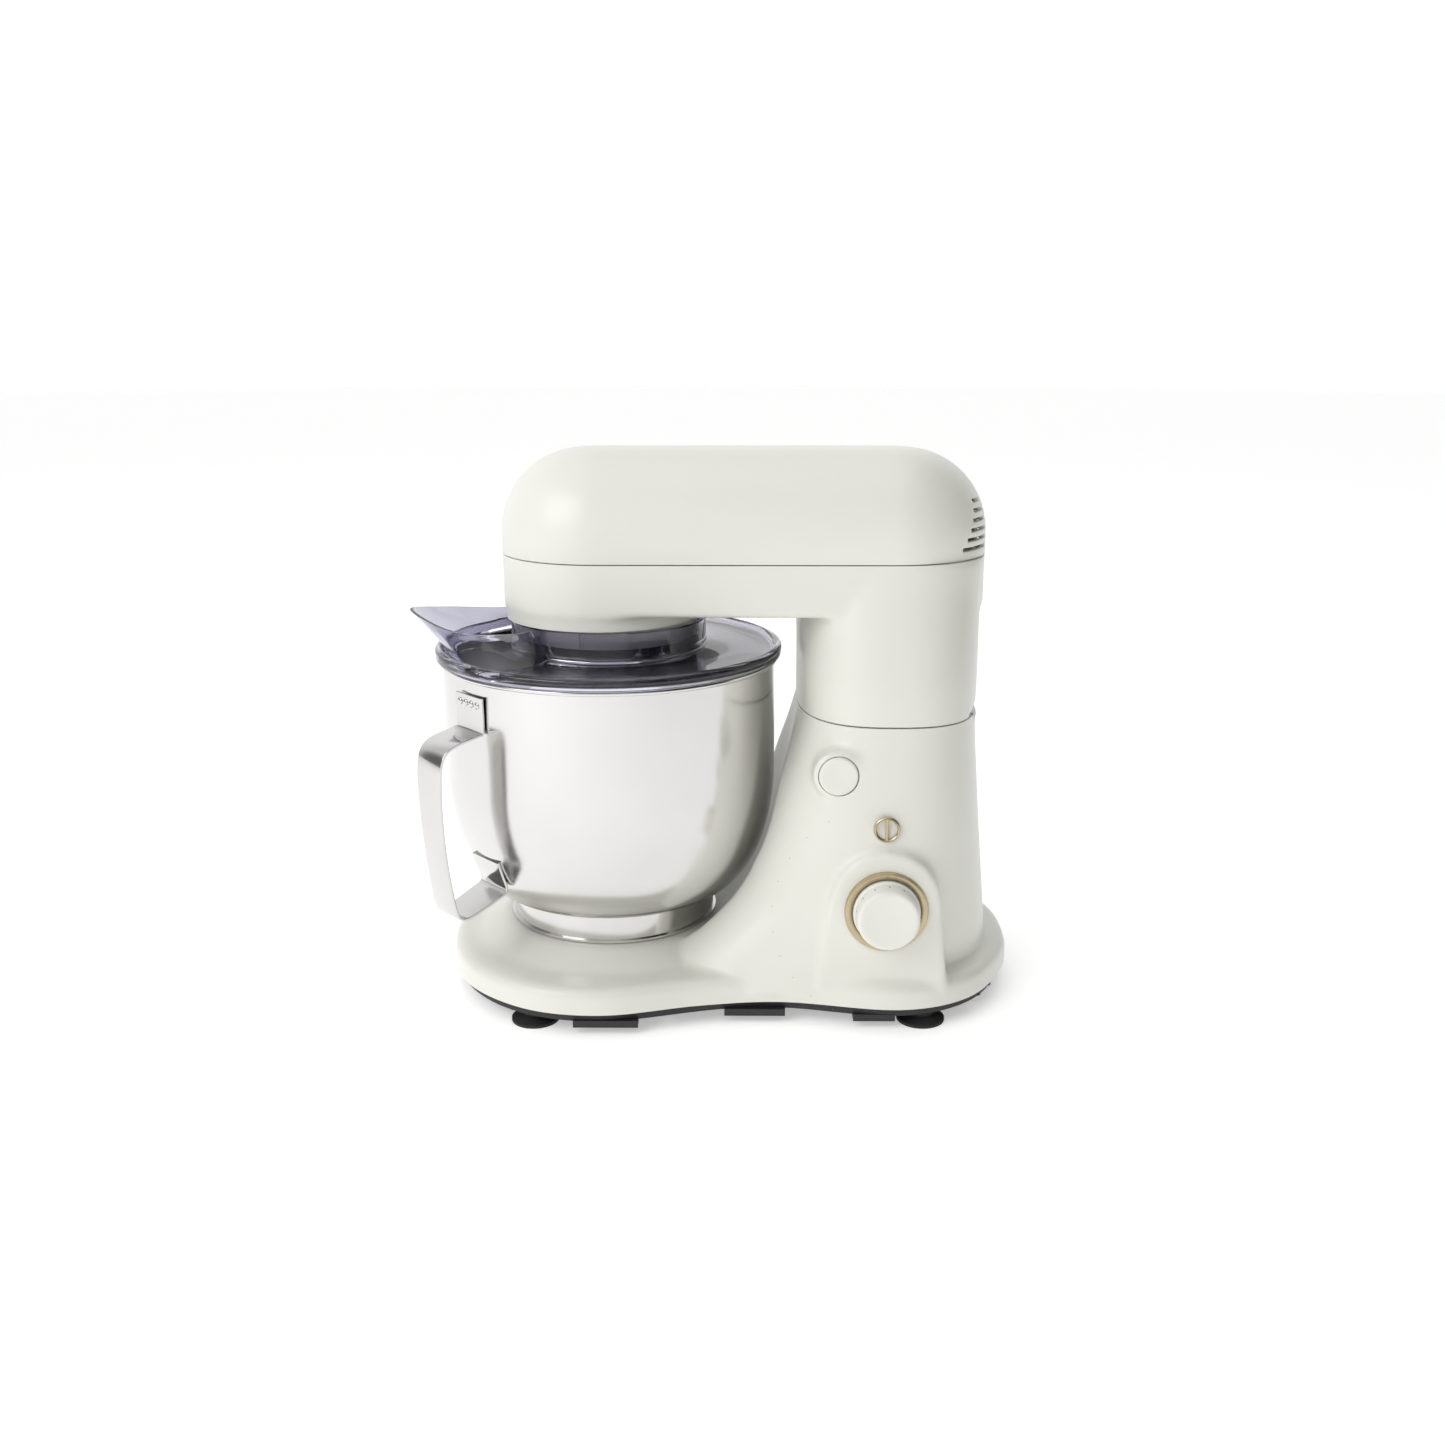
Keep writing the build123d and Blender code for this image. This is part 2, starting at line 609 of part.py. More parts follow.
def belt_loop(gap_small, gap_large, z0, z1):
    """Filled outline of the belt around both pulleys."""
    r0 = LARGE_PULLEY_R + gap_large
    r1 = SMALL_PULLEY_R + gap_small
    span = MOTOR_X - LAYSHAFT_X
    tilt = math.asin((r0 - r1) / span)
    c = math.cos(tilt)
    s = math.sin(tilt)
    corners = [(r0 * s, r0 * c), (span + r1 * s, r1 * c), (span + r1 * s, -r1 * c), (r0 * s, -r0 * c)]
    sides = extrude(make_face(Polyline(corners, close=True)), amount=z1 - z0, dir=(0, 0, 1))
    loop = Pos(LAYSHAFT_X, 0, z0) * sides
    return loop + disc(r0, z0, z1, LAYSHAFT_X) + disc(r1, z0, z1, MOTOR_X)


def drive_belt():
    """Ribbed belt between the motor and the layshaft."""
    z0, z1 = PULLEY_BOTTOM_Z + 2.0, PULLEY_TOP_Z - 2.0
    outer = belt_loop(BELT_GAP + BELT_THICK, BELT_GAP + BELT_THICK, z0, z1)
    return outer - belt_loop(BELT_GAP, BELT_GAP, z0 - 1, z1 + 1)


def pulley(radius, bore, x):
    """Flanged pulley."""
    wheel = disc(radius, PULLEY_BOTTOM_Z, PULLEY_TOP_Z, x)
    wheel = wheel + disc(radius + 1.8, PULLEY_BOTTOM_Z, PULLEY_BOTTOM_Z + 1.6, x)
    wheel = wheel + disc(radius + 1.8, PULLEY_TOP_Z - 1.6, PULLEY_TOP_Z, x)
    return wheel - disc(bore, PULLEY_BOTTOM_Z - 1, PULLEY_TOP_Z + 1, x)


def large_pulley():
    """Driven pulley with lightening holes."""
    wheel = pulley(LARGE_PULLEY_R, 4.0, LAYSHAFT_X)
    for step in range(6):
        hole = Rot(Z=60 * step) * disc(5.5, 290, 310, 18)
        wheel = wheel - Pos(LAYSHAFT_X, 0, 0) * hole
    return wheel


def frame_screw(x, y):
    """Screw from the frame into the lower head shell."""
    return disc(2.0, 252, FRAME_TOP_Z, x, y) + disc(3.8, FRAME_TOP_Z, FRAME_TOP_Z + 2.5, x, y)


# ---- splash guard -------------------------------------------------------
CHUTE_LOW = [(-40.0, -46.0), (-56.0, -88.0), (-96.0, -34.0), (-101.0, 0.0), (-96.0, 34.0), (-56.0, 88.0), (-40.0, 46.0)]
CHUTE_HIGH = [(-46.0, -42.0), (-75.0, -46.0), (-112.0, -20.0), (-128.4, 0.0), (-112.0, 20.0), (-75.0, 46.0), (-46.0, 42.0)]


def chute(inset, z0, z1):
    """Boat-shaped body of the pouring chute, or of its inside."""
    low = make_face(Polyline([(x, y, z0) for x, y in CHUTE_LOW], close=True))
    high = make_face(Polyline([(x, y, z1) for x, y in CHUTE_HIGH], close=True))
    if inset:
        low = offset(low, amount=-inset, kind=Kind.INTERSECTION)
        high = offset(high, amount=-inset, kind=Kind.INTERSECTION)
    return loft([low, high], ruled=True)


def splash_guard():
    """Clear guard: flange, sloping cover, collar, skirt and pouring chute."""
    cover = turned([(60.4, 221.6), (108.0, 219.6), (GUARD_R, GUARD_BOTTOM_Z), (GUARD_R, 223.6), (108.5, GUARD_TOP_Z),
                    (106.0, 222.6), (GUARD_COLLAR_R, 223.8), (GUARD_COLLAR_R, GUARD_COLLAR_TOP_Z),
                    (60.4, GUARD_COLLAR_TOP_Z)])
    skirt = tube(103.4, 101.6, 211.0, 220.6)
    spout = chute(0, 220.0, 245.5)
    hole = chute(GUARD_WALL, 219.0, 246.5)
    well = disc(GUARD_COLLAR_R, 200, 260)
    drum_gap = disc(DRUM_BOTTOM_R + 3.0, GUARD_COLLAR_TOP_Z, 260, DRUM_CENTRE_X)
    return cover + skirt + (spout - well - drum_gap) - (hole - well)


# ---- hub, shafts and beater ---------------------------------------------
def planetary_hub():
    """Turning carrier that swings the beater around the bowl."""
    hub = disc(47.5, 231.5, 244.5) + cone(40.0, 47.5, 226.0, 231.5) + disc(13.0, 244.0, 255.0)
    hub = hub - disc(6.0, 220, 260) - disc(9.0, 220, 250, PLANET_OFFSET)
    return hub + disc(10.0, 224.0, 226.5) - disc(6.0, 225.0, 260)


def main_shaft():
    """Vertical shaft from the main gear to the hub."""
    return disc(6.0, 225.0, 293.0)


def beater_shaft():
    """Shaft that the beater locks onto."""
    return disc(6.0, 178.0, 256.0 - 0.4, PLANET_OFFSET)


def planet_bush(z0, z1):
    """Plain bush for the beater shaft."""
    return tube(9.0, 6.0 + RUNNING_GAP, z0, z1, PLANET_OFFSET)


def bowl_inner_radius(z):
    """Inside radius of the bowl at a height."""
    if z >= BOWL_BEND_Z:
        return BOWL_R - BOWL_WALL
    drop = (BOWL_BEND_Z - z) / (BOWL_BEND_Z - BOWL_FLOOR_Z - BOWL_WALL)
    return BOWL_FLOOR_R + (BOWL_R - BOWL_WALL - BOWL_FLOOR_R) * math.sqrt(max(0.0, 1 - drop * drop))


def beater_half_width(z):
    """Half width of the flat beater at a height."""
    return bowl_inner_radius(z) - PLANET_OFFSET - 8.0


def flat_beater():
    """Flat paddle with an open web, hung on the shaft."""
    heights = [70.0, 78.0, 90.0, 110.0, 135.0, 158.0]
    right = [(beater_half_width(z), z) for z in heights] + [(52.0, 172.0), (20.0, 181.0)]
    left = [(-r, z) for r, z in reversed(right)]
    frame = prism_y(right + left, -4.0, 4.0)
    holes = []
    for z0, z1 in [(82.0, 104.0), (112.0, 134.0), (142.0, 160.0)]:
        for side in (-1, 1):
            w0 = beater_half_width(z0) - 11
            w1 = beater_half_width(z1) - 11 if z1 < 150 else 42.0
            points = [(side * 4.0, z0), (side * w0, z0), (side * w1, z1), (side * 4.0, z1)]
            holes.append(prism_y(points, -6.0, 6.0))
    frame = frame - joined(holes)
    paddle = frame + disc(10.5, 172.0, 206.0)
    paddle = paddle - disc(6.0, 178.0, 210.0) - block(-1.8, 1.8, -12, 12, 196.0, 207.0)
    return Pos(PLANET_OFFSET, 0, 0) * paddle


def drive_pin():
    """Cross pin that turns the beater."""
    return rod_y(1.75, -9.6, -6.0, PLANET_OFFSET, 199.0) + rod_y(1.75, 6.0, 9.6, PLANET_OFFSET, 199.0)


def spring(radius, wire, pitch, height):
    """Round-wire coil spring along Z from the origin."""
    path = Helix(pitch, height, radius)
    start = Plane(origin=path @ 0, z_dir=path % 0)
    return sweep(start * Circle(wire), path=path, is_frenet=True)


# ---- bowl ---------------------------------------------------------------
def bowl_profile(inset):
    """Outline of the bowl in radius and height, moved inwards by an inset."""
    wall_r = BOWL_R - inset
    floor_z = BOWL_FLOOR_Z + inset
    points = [(0.0, floor_z)]
    for step in range(13):
        angle = math.radians(7.5 * step)
        r = BOWL_FLOOR_R + (wall_r - BOWL_FLOOR_R) * math.sin(angle)
        z = BOWL_BEND_Z - (BOWL_BEND_Z - floor_z) * math.cos(angle)
        points.append((r, z))
    return points


def mixing_bowl():
    """Thin steel bowl with a rolled rim."""
    outside = Spline([(r, 0, z) for r, z in bowl_profile(0)[1:]], tangents=[(1, 0, 0), (0, 0, 1)])
    inside = Spline([(r, 0, z) for r, z in bowl_profile(BOWL_WALL)[1:]], tangents=[(1, 0, 0), (0, 0, 1)])
    out_r, in_r = BOWL_R, BOWL_R - BOWL_WALL
    floor_out, floor_in = bowl_profile(0)[1], bowl_profile(BOWL_WALL)[1]
    lines = [
        Line((0, 0, floor_out[1]), (floor_out[0], 0, floor_out[1])),
        outside,
        Line((out_r, 0, BOWL_BEND_Z), (out_r, 0, BOWL_RIM_Z)),
        Line((out_r, 0, BOWL_RIM_Z), (in_r, 0, BOWL_RIM_Z)),
        Line((in_r, 0, BOWL_RIM_Z), (in_r, 0, BOWL_BEND_Z)),
        inside,
        Line((floor_in[0], 0, floor_in[1]), (0, 0, floor_in[1])),
        Line((0, 0, floor_in[1]), (0, 0, floor_out[1])),
    ]
    bowl = revolve(make_face(lines), axis=Axis.Z, revolution_arc=360)
    rim = Pos(0, 0, BOWL_RIM_Z) * Torus(BOWL_R + 0.4, 1.5)
    return bowl + rim


def bowl_foot():
    """Foot ring with inward tabs that lock under the seat."""
    foot = tube(FOOT_RING_R, FOOT_RING_R - 1.2, FOOT_RING_BOTTOM_Z, BOWL_FLOOR_Z)
    foot = foot + tube(FOOT_RING_R + 1.6, FOOT_RING_R - 1.2, FOOT_RING_BOTTOM_Z, FOOT_RING_BOTTOM_Z + 1.4)
    tabs = tube(FOOT_RING_R - 0.8, 61.2, 44.4, 46.4)
    for step in range(3):
        wedge = Rot(Z=120 * step) * block(0, 80, -14, 14, 44, 47)
        foot = foot + (tabs & wedge)
    return foot


def handle_strap():
    """Folded steel strap handle with its two fixing plates."""
    wall = BOWL_R + 0.3 + HANDLE_THICK / 2
    points = [(wall, 206.0), (wall, 184.0), (136.0, 178.0), (139.0, 150.0), (131.0, 66.0)]
    points += [(bowl_outer_radius(84.0) + 1.3, 80.0), (bowl_outer_radius(100.0) + 1.2, 100.0)]
    path = FilletPolyline(*points, radius=[3.0, 9.0, 60.0, 8.0, 3.0])
    strap = extrude(trace(path, HANDLE_THICK), amount=HANDLE_WIDTH / 2, both=True)
    strap = Rot(X=90) * strap
    strap = strap - disc(BOWL_R + 0.3, 142, 220) - turned(bowl_solid_outline())
    return Rot(Z=HANDLE_AZIMUTH) * strap


def bowl_solid_outline():
    """Outline of the filled bowl body, a little proud of its wall."""
    heights = [62.0 + 8.0 * step for step in range(11)]
    return [(0.0, 62.0)] + [(bowl_outer_radius(z) + 0.3, z) for z in heights] + [(0.0, heights[-1])]


def handle_rivet(z, y, radius_at):
    """Low round head that joins the handle to the bowl."""
    head = Pos(radius_at, y, z) * Rot(Y=90) * Cylinder(2.2, 1.0)
    return Rot(Z=HANDLE_AZIMUTH) * head


def bowl_outer_radius(z):
    """Outside radius of the bowl at a height."""
    if z >= BOWL_BEND_Z:
        return BOWL_R
    drop = (BOWL_BEND_Z - z) / (BOWL_BEND_Z - BOWL_FLOOR_Z)
    return BOWL_FLOOR_R + (BOWL_R - BOWL_FLOOR_R) * math.sqrt(max(0.0, 1 - drop * drop))


def button_spring():
    """Coil spring that returns the release button."""
    return Pos(BUTTON_X, -66.8, BUTTON_Z) * Rot(X=90) * spring(5.4, 0.6, 3.0, 11.4)


# ---- knob and release ---------------------------------------------------
def speed_knob():
    """Two-step speed knob."""
    y = BOSS_FACE_Y
    flange = rod_y(20.5, y - 5.0, y - 0.6, KNOB_X, KNOB_Z)
    cap = rod_y(19.3, y - 17.0, y - 5.0, KNOB_X, KNOB_Z)
    cap = chamfer(cap.faces().sort_by(Axis.Y)[0].edges(), 1.2)
    return flange + cap - rod_y(3.0, y - 10.0, y, KNOB_X, KNOB_Z)


def knob_spindle():
    """Spindle from the knob into the rotary switch."""
    return rod_y(3.0, BOSS_FACE_Y - 10.0, -59.0, KNOB_X, KNOB_Z)


def release_button():
    """Round push button that frees the head."""
    cap = rod_y(BUTTON_R, PAD_FACE_Y - 1.6, PAD_FACE_Y + 6.0, BUTTON_X, BUTTON_Z)
    cap = fillet(cap.faces().sort_by(Axis.Y)[0].edges(), 1.2)
    return cap


def latch_rod():
    """Rod between the button and the lock tongue."""
    return rod_y(4.0, PAD_FACE_Y + 6.0, -7.5, BUTTON_X, BUTTON_Z) + rod_y(6.5, -36.0, -33.0, BUTTON_X, BUTTON_Z)


def save_stand():
    """Writes the fixed nodes of the stand."""
    posts = [screw_post(x, y) for x, y in SCREW_SPOTS]
    save("pedestal_shell", pedestal_shell() + joined(posts) + badge_backing())
    save("base_plate", base_plate())
    pads = [disc(4.0, 0.0, PLATE_BOTTOM_Z, 247.0, y) for y in (-36.0, 36.0)]
    save("rubber_feet", *[suction_foot(x, y) for x, y in FOOT_SPOTS], *pads)
    save("foot_screws", *[foot_screw(x, y) for x, y in FOOT_SPOTS])
    save("base_screws", *[base_screw(x, y) for x, y in SCREW_SPOTS])
    save("bowl_seat", bowl_seat())
    save("seat_screws", *[seat_screw(x, y) for x, y in SEAT_SCREW_SPOTS])
    save("dial_bezel", dial_bezel())
    save("side_badge", side_badge())
    save("speed_switch", speed_switch())
    save("control_board", control_board())
    save("cord_gland", cord_gland())
    save("hinge_block", hinge_block())
    save("hinge_pin", hinge_pin())
    save("hinge_bolts", hinge_bolt(-12.0), hinge_bolt(12.0))
    save("button_guide", button_guide())
    save("button_spring", button_spring())


def save_head():
    """Writes the nodes that tilt with the head."""
    save("head_cover", head_cover())
    save("head_body", head_body())
    save("head_frame", head_frame())
    save("gear_cover", gear_cover())
    save("neck_plate", neck_plate())
    save("ring_gear", ring_gear())
    save("hub_collar", hub_collar())
    save("main_bearings", tube(16.0, 6.0 + RUNNING_GAP, FRAME_BOTTOM_Z, FRAME_TOP_Z),
         tube(11.0, 6.0 + RUNNING_GAP, 290.0, 293.0))
    save("layshaft_bearings", tube(9.0, 4.0 + RUNNING_GAP, FRAME_BOTTOM_Z, FRAME_TOP_Z, LAYSHAFT_X),
         tube(9.0, 4.0 + RUNNING_GAP, 290.0, 293.0, LAYSHAFT_X))
    save("motor_stator", motor_stator())
    save("field_windings", *[field_winding(side, z0, z1) for side in (-1, 1) for z0, z1 in ((208, 218), (246, 251))])
    save("motor_ends", motor_end(199.0, 205.0, 8.0), motor_end(252.0, FRAME_BOTTOM_Z, 8.0))
    save("motor_bearings", tube(8.0, 4.0 + RUNNING_GAP, 199.0, 205.0, MOTOR_X),
         tube(8.0, 4.0 + RUNNING_GAP, 252.0, FRAME_BOTTOM_Z, MOTOR_X))
    save("motor_bolts", *[motor_bolt(x, y) for x in (-25, 25) for y in (-25, 25)])
    save("brush_holders", brush_holder(-1), brush_holder(1))
    save("drive_belt", drive_belt())
    save("frame_screws", *[frame_screw(x, y) for x, y in FRAME_SCREW_SPOTS])


def save_drive():
    """Writes the turning nodes: hub, beater, layshaft and motor rotor."""
    save("planetary_hub", planetary_hub())
    save("main_shaft", main_shaft())
    save("main_gear", outer_gear(MAIN_TEETH, 274.0, 286.0, 6.0, 0.0, 0.0))
    save("planet_bushes", planet_bush(226.0, 231.0), planet_bush(239.5, 244.5))
    save("beater_shaft", beater_shaft())
    save("planet_gear", outer_gear(PLANET_TEETH, 246.6, 255.4, 6.0, PLANET_OFFSET, 0.0))
    save("flat_beater", flat_beater())
    save("drive_pin", drive_pin())
    save("beater_spring", Pos(PLANET_OFFSET, 0, 207.4) * spring(7.6, 0.7, 3.0, 14.0))
    save("layshaft", disc(4.0, 257.0, 310.0, LAYSHAFT_X))
    save("pinion", outer_gear(PINION_TEETH, 272.0, 288.0, 4.0, LAYSHAFT_X, 180.0 / PINION_TEETH))
    save("large_pulley", large_pulley())
    save("rotor_shaft", disc(4.0, 197.0, 310.0, MOTOR_X))
    save("armature", armature())
    save("commutator", tube(11.0, 4.0, 207.5, 216.5, MOTOR_X))
    save("cooling_fan", cooling_fan())
    save("motor_pulley", pulley(SMALL_PULLEY_R, 4.0, MOTOR_X))


def save_rest():
    """Writes the bowl, the guard and the controls."""
    save("splash_guard", splash_guard())
    save("mixing_bowl", mixing_bowl())
    save("bowl_foot", bowl_foot())
    save("bowl_handle", handle_strap())
    rivets = [handle_rivet(201.0, y, BOWL_R + 2.65) for y in (-9.0, -3.0, 3.0, 9.0)]
    save("handle_rivets", *rivets)
    save("speed_knob", speed_knob())
    save("knob_spindle", knob_spindle())
    save("release_button", release_button())
    save("latch_rod", latch_rod())


def main():
    """Builds and writes every node."""
    os.makedirs("parts", exist_ok=True)
    save_stand()
    save_head()
    save_drive()
    save_rest()


if __name__ == "__main__":
    main()
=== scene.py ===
"""Looks of the tilt-head stand mixer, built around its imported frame.

Lengths in the classes below are in millimetres from the mixing axis and the table,
and `spot` turns them into metres in the frame.
"""

from __future__ import annotations

import json
import logging
import math
from dataclasses import dataclass
from enum import Enum
from typing import Sequence, Union

import bmesh
import bpy
from mathutils import Matrix, Vector


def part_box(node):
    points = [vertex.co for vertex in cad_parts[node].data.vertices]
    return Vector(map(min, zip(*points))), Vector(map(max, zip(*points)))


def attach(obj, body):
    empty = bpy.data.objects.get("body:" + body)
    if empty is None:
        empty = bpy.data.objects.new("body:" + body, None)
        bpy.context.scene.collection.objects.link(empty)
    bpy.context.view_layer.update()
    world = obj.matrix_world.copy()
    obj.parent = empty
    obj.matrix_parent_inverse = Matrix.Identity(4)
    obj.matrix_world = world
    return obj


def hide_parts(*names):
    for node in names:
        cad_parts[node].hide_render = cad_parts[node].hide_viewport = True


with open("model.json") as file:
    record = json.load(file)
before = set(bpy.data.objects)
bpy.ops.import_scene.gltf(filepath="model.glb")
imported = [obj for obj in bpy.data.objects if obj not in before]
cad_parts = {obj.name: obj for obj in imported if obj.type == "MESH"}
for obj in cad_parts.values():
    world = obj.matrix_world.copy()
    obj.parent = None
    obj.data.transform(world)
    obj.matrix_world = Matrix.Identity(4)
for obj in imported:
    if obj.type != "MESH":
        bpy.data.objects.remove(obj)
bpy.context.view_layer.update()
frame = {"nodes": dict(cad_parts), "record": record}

LOG = logging.getLogger("stand_mixer")
MM = 0.001
AXIS_X = (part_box("main_shaft")[0].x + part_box("main_shaft")[1].x) / 2
RGB = tuple[float, float, float]
Ring = list[Vector]
Number = Union[float, "Value"]

KNOB_PLACE = (173.8, -99.0, 77.0)
BUTTON_PLACE = (144.1, -85.0, 158.4)
HINGE_LINE = (224.0, 187.5)
HINGE_BAY_RADIUS = 8.6
HINGE_BAY_HALF = 44.6
BLEND_VOXEL = 2.0
BLEND_PASSES = 9
WELD_DISTANCE = 0.000004


def spot(x: float, y: float, z: float) -> Vector:
    """Point in metres from millimetres about the mixing axis."""
    return Vector((x * MM + AXIS_X, y * MM, z * MM))


# ----------------------------------------------------------------------------
# Shader maths
# ----------------------------------------------------------------------------
class Value:
    """A shader socket on which Python's operators add Math nodes."""

    def __init__(self, shader: "Shader", socket: bpy.types.NodeSocket) -> None:
        """Wraps one output socket of a shader's tree."""
        self.shader = shader
        self.socket = socket

    def _math(self, operation: str, first: Number, second: Number) -> "Value":
        """Adds one Math node and returns its result."""
        return self.shader.node("ShaderNodeMath", {"operation": operation}, {0: first, 1: second})

    def __add__(self, other: Number) -> "Value":
        """Sum."""
        return self._math("ADD", self, other)

    def __radd__(self, other: Number) -> "Value":
        """Sum with a number on the left."""
        return self._math("ADD", other, self)

    def __sub__(self, other: Number) -> "Value":
        """Difference."""
        return self._math("SUBTRACT", self, other)

    def __rsub__(self, other: Number) -> "Value":
        """Difference with a number on the left."""
        return self._math("SUBTRACT", other, self)

    def __mul__(self, other: Number) -> "Value":
        """Product."""
        return self._math("MULTIPLY", self, other)


class Shader:
    """A node tree with its main shader and output."""

    def __init__(self, holder: Union[bpy.types.Material, bpy.types.World], main: str,
                 output: str) -> None:
        """Starts an empty tree.

        Args:
            holder: Material or world that owns the tree.
            main: Type of the main shader.
            output: Type of the output.
        """
        holder.use_nodes = True
        self.holder = holder
        self.tree = holder.node_tree
        self.tree.nodes.clear()
        self.surface = self.tree.nodes.new(main)
        self.tree.links.new(self.surface.outputs[0], self.tree.nodes.new(output).inputs["Surface"])

    @classmethod
    def surfaced(cls, name: str) -> "Shader":
        """Starts a new material on a Principled shader."""
        return cls(bpy.data.materials.new(name), "ShaderNodeBsdfPrincipled",
                   "ShaderNodeOutputMaterial")

    def node(self, kind: str, settings: dict, sockets: dict, result: Union[int, str] = 0) -> Value:
        """Adds any node.

        Args:
            kind: Blender's type name of the node.
            settings: Properties that are set first.
            sockets: Values or links by input name or number.
            result: Output to return.

        Returns:
            The chosen output.
        """
        made = self.tree.nodes.new(kind)
        for key, value in settings.items():
            setattr(made, key, value)
        for key, value in sockets.items():
            self.feed(made, key, value)
        return Value(self, made.outputs[result])

    def feed(self, target: bpy.types.Node, key: Union[int, str], value: object) -> None:
        """Sets or links one input of a node."""
        if isinstance(value, Value):
            self.tree.links.new(value.socket, target.inputs[key])
        else:
            target.inputs[key].default_value = value

    def place(self, scale: Sequence[float]) -> Value:
        """Object coordinates stretched by a scale on each axis."""
        coordinates = self.node("ShaderNodeTexCoord", {}, {}, "Object")
        return self.node("ShaderNodeMapping", {}, {"Vector": coordinates, "Scale": tuple(scale)})

    def noise(self, scale: Sequence[float], detail: float = 3.0, rough: float = 0.55) -> Value:
        """Noise from 0 to 1, with cells per metre given on each axis."""
        settings = {"noise_dimensions": "3D"}
        sockets = {"Vector": self.place(scale), "Scale": 1.0, "Detail": detail, "Roughness": rough}
        return self.node("ShaderNodeTexNoise", settings, sockets)

    def smooth(self, value: Value, low: float, high: float) -> Value:
        """Soft step from 0 at one value to 1 at another."""
        sockets = {"Value": value, "From Min": low, "From Max": high}
        return self.node("ShaderNodeMapRange", {"interpolation_type": "SMOOTHSTEP"}, sockets)

    def mix(self, share: Number, first: RGB, second: RGB) -> Value:
        """Colour between two colours."""
        sockets = {"Factor": share, 6: (*first, 1.0), 7: (*second, 1.0)}
        return self.node("ShaderNodeMix", {"data_type": "RGBA"}, sockets, 2)

    def bump(self, height: Value, depth: float, strength: float = 1.0) -> Value:
        """Surface relief from a height."""
        return self.node("ShaderNodeBump", {},
                         {"Height": height, "Distance": depth, "Strength": strength}, 0)

    def finish(self, values: dict) -> bpy.types.Material:
        """Feeds the surface's sockets and returns the material."""
        for key, value in values.items():
            self.feed(self.surface, key, value)
        return self.holder


class Grain(Enum):
    """How a finish's fine texture runs: cells per metre on X, Y and Z, and its detail."""

    MOULDED = ((900.0, 900.0, 900.0), 2.0)
    SATIN = ((2200.0, 2200.0, 2200.0), 2.0)
    SPUN = ((14.0, 14.0, 5200.0), 4.0)
    DRAWN_X = ((30.0, 3600.0, 3600.0), 3.0)
    DRAWN_Z = ((3600.0, 3600.0, 30.0), 3.0)
    CAST = ((1400.0, 1400.0, 1400.0), 6.0)
    LAMINATED = ((3.0, 3.0, 1700.0), 0.0)
    WOUND = ((60.0, 60.0, 900.0), 1.0)


@dataclass(frozen=True)
class Finish:
    """A moulded, cast or metal surface."""

    name: str
    colour: RGB
    shade: RGB
    roughness: float
    grain: Grain
    depth: float
    metallic: float = 0.0
    coat: float = 0.0
    spread: float = 0.06
    patches: float = 18.0

    def build(self) -> bpy.types.Material:
        """Makes the material: broad colour drift, roughness variation and fine relief."""
        shader = Shader.surfaced(self.name)
        scale, detail = self.grain.value
        broad = shader.noise((self.patches,) * 3, 4.0, 0.6)
        fine = shader.noise(scale, detail)
        colour = shader.mix(broad, self.shade, self.colour)
        roughness = self.roughness + (fine - 0.5) * self.spread + (broad - 0.5) * self.spread
        values = {
            "Base Color": colour,
            "Roughness": roughness,
            "Metallic": self.metallic,
            "Coat Weight": self.coat,
            "Coat Roughness": 0.12,
            "Normal": shader.bump(fine, self.depth),
        }
        return shader.finish(values)


@dataclass(frozen=True)
class ClearPlastic:
    """Smoke-tinted clear plastic."""

    name: str
    tint: RGB
    shade: RGB
    roughness: float

    def build(self) -> bpy.types.Material:
        """Makes a transmitting material with faint moulding flow lines."""
        shader = Shader.surfaced(self.name)
        flow = shader.noise((26.0, 26.0, 60.0), 3.0)
        values = {
            "Base Color": shader.mix(flow, self.shade, self.tint),
            "Roughness": self.roughness + flow * 0.03,
            "Transmission Weight": 1.0,
            "IOR": 1.49,
            "Normal": shader.bump(flow, 0.0002, 0.3),
        }
        return shader.finish(values)


@dataclass(frozen=True)
class BoardFinish:
    """Green circuit board with copper tracks under its lacquer."""

    name: str

    def build(self) -> bpy.types.Material:
        """Makes the board's tracks from cell edges."""
        shader = Shader.surfaced(self.name)
        settings = {"distance": "MANHATTAN", "feature": "F1"}
        sockets = {"Vector": shader.place((260, 260, 260)), "Scale": 1.0}
        cells = shader.node("ShaderNodeTexVoronoi", settings, sockets)
        track = shader.node("ShaderNodeMath", {"operation": "GREATER_THAN"}, {0: cells, 1: 0.55})
        values = {
            "Base Color": shader.mix(track, (0.01, 0.11, 0.05), (0.03, 0.22, 0.09)),
            "Roughness": 0.3 + track * 0.15,
            "Normal": shader.bump(track, 0.00008),
        }
        return shader.finish(values)


SHELL_WHITE = Finish("shell_white", (0.83, 0.83, 0.765), (0.80, 0.80, 0.73), 0.34, Grain.MOULDED,
                     0.000012, coat=0.12)
KNOB_WHITE = Finish("knob_white", (0.85, 0.85, 0.80), (0.82, 0.82, 0.76), 0.30, Grain.SATIN,
                    0.000008, coat=0.2)
BLACK_PLASTIC = Finish("black_plastic", (0.028, 0.028, 0.03), (0.016, 0.016, 0.018), 0.52,
                       Grain.MOULDED, 0.00005)
BLACK_RUBBER = Finish("black_rubber", (0.022, 0.022, 0.022), (0.012, 0.012, 0.012), 0.72,
                      Grain.SATIN, 0.00004)
ANTIQUE_GOLD = Finish("antique_gold", (0.60, 0.51, 0.34), (0.44, 0.36, 0.22), 0.33, Grain.DRAWN_X,
                      0.00001, metallic=1.0, spread=0.14, patches=140.0)
SPUN_STEEL = Finish("spun_steel", (0.74, 0.73, 0.72), (0.66, 0.655, 0.65), 0.17, Grain.SPUN,
                    0.0000045, metallic=1.0, spread=0.10)
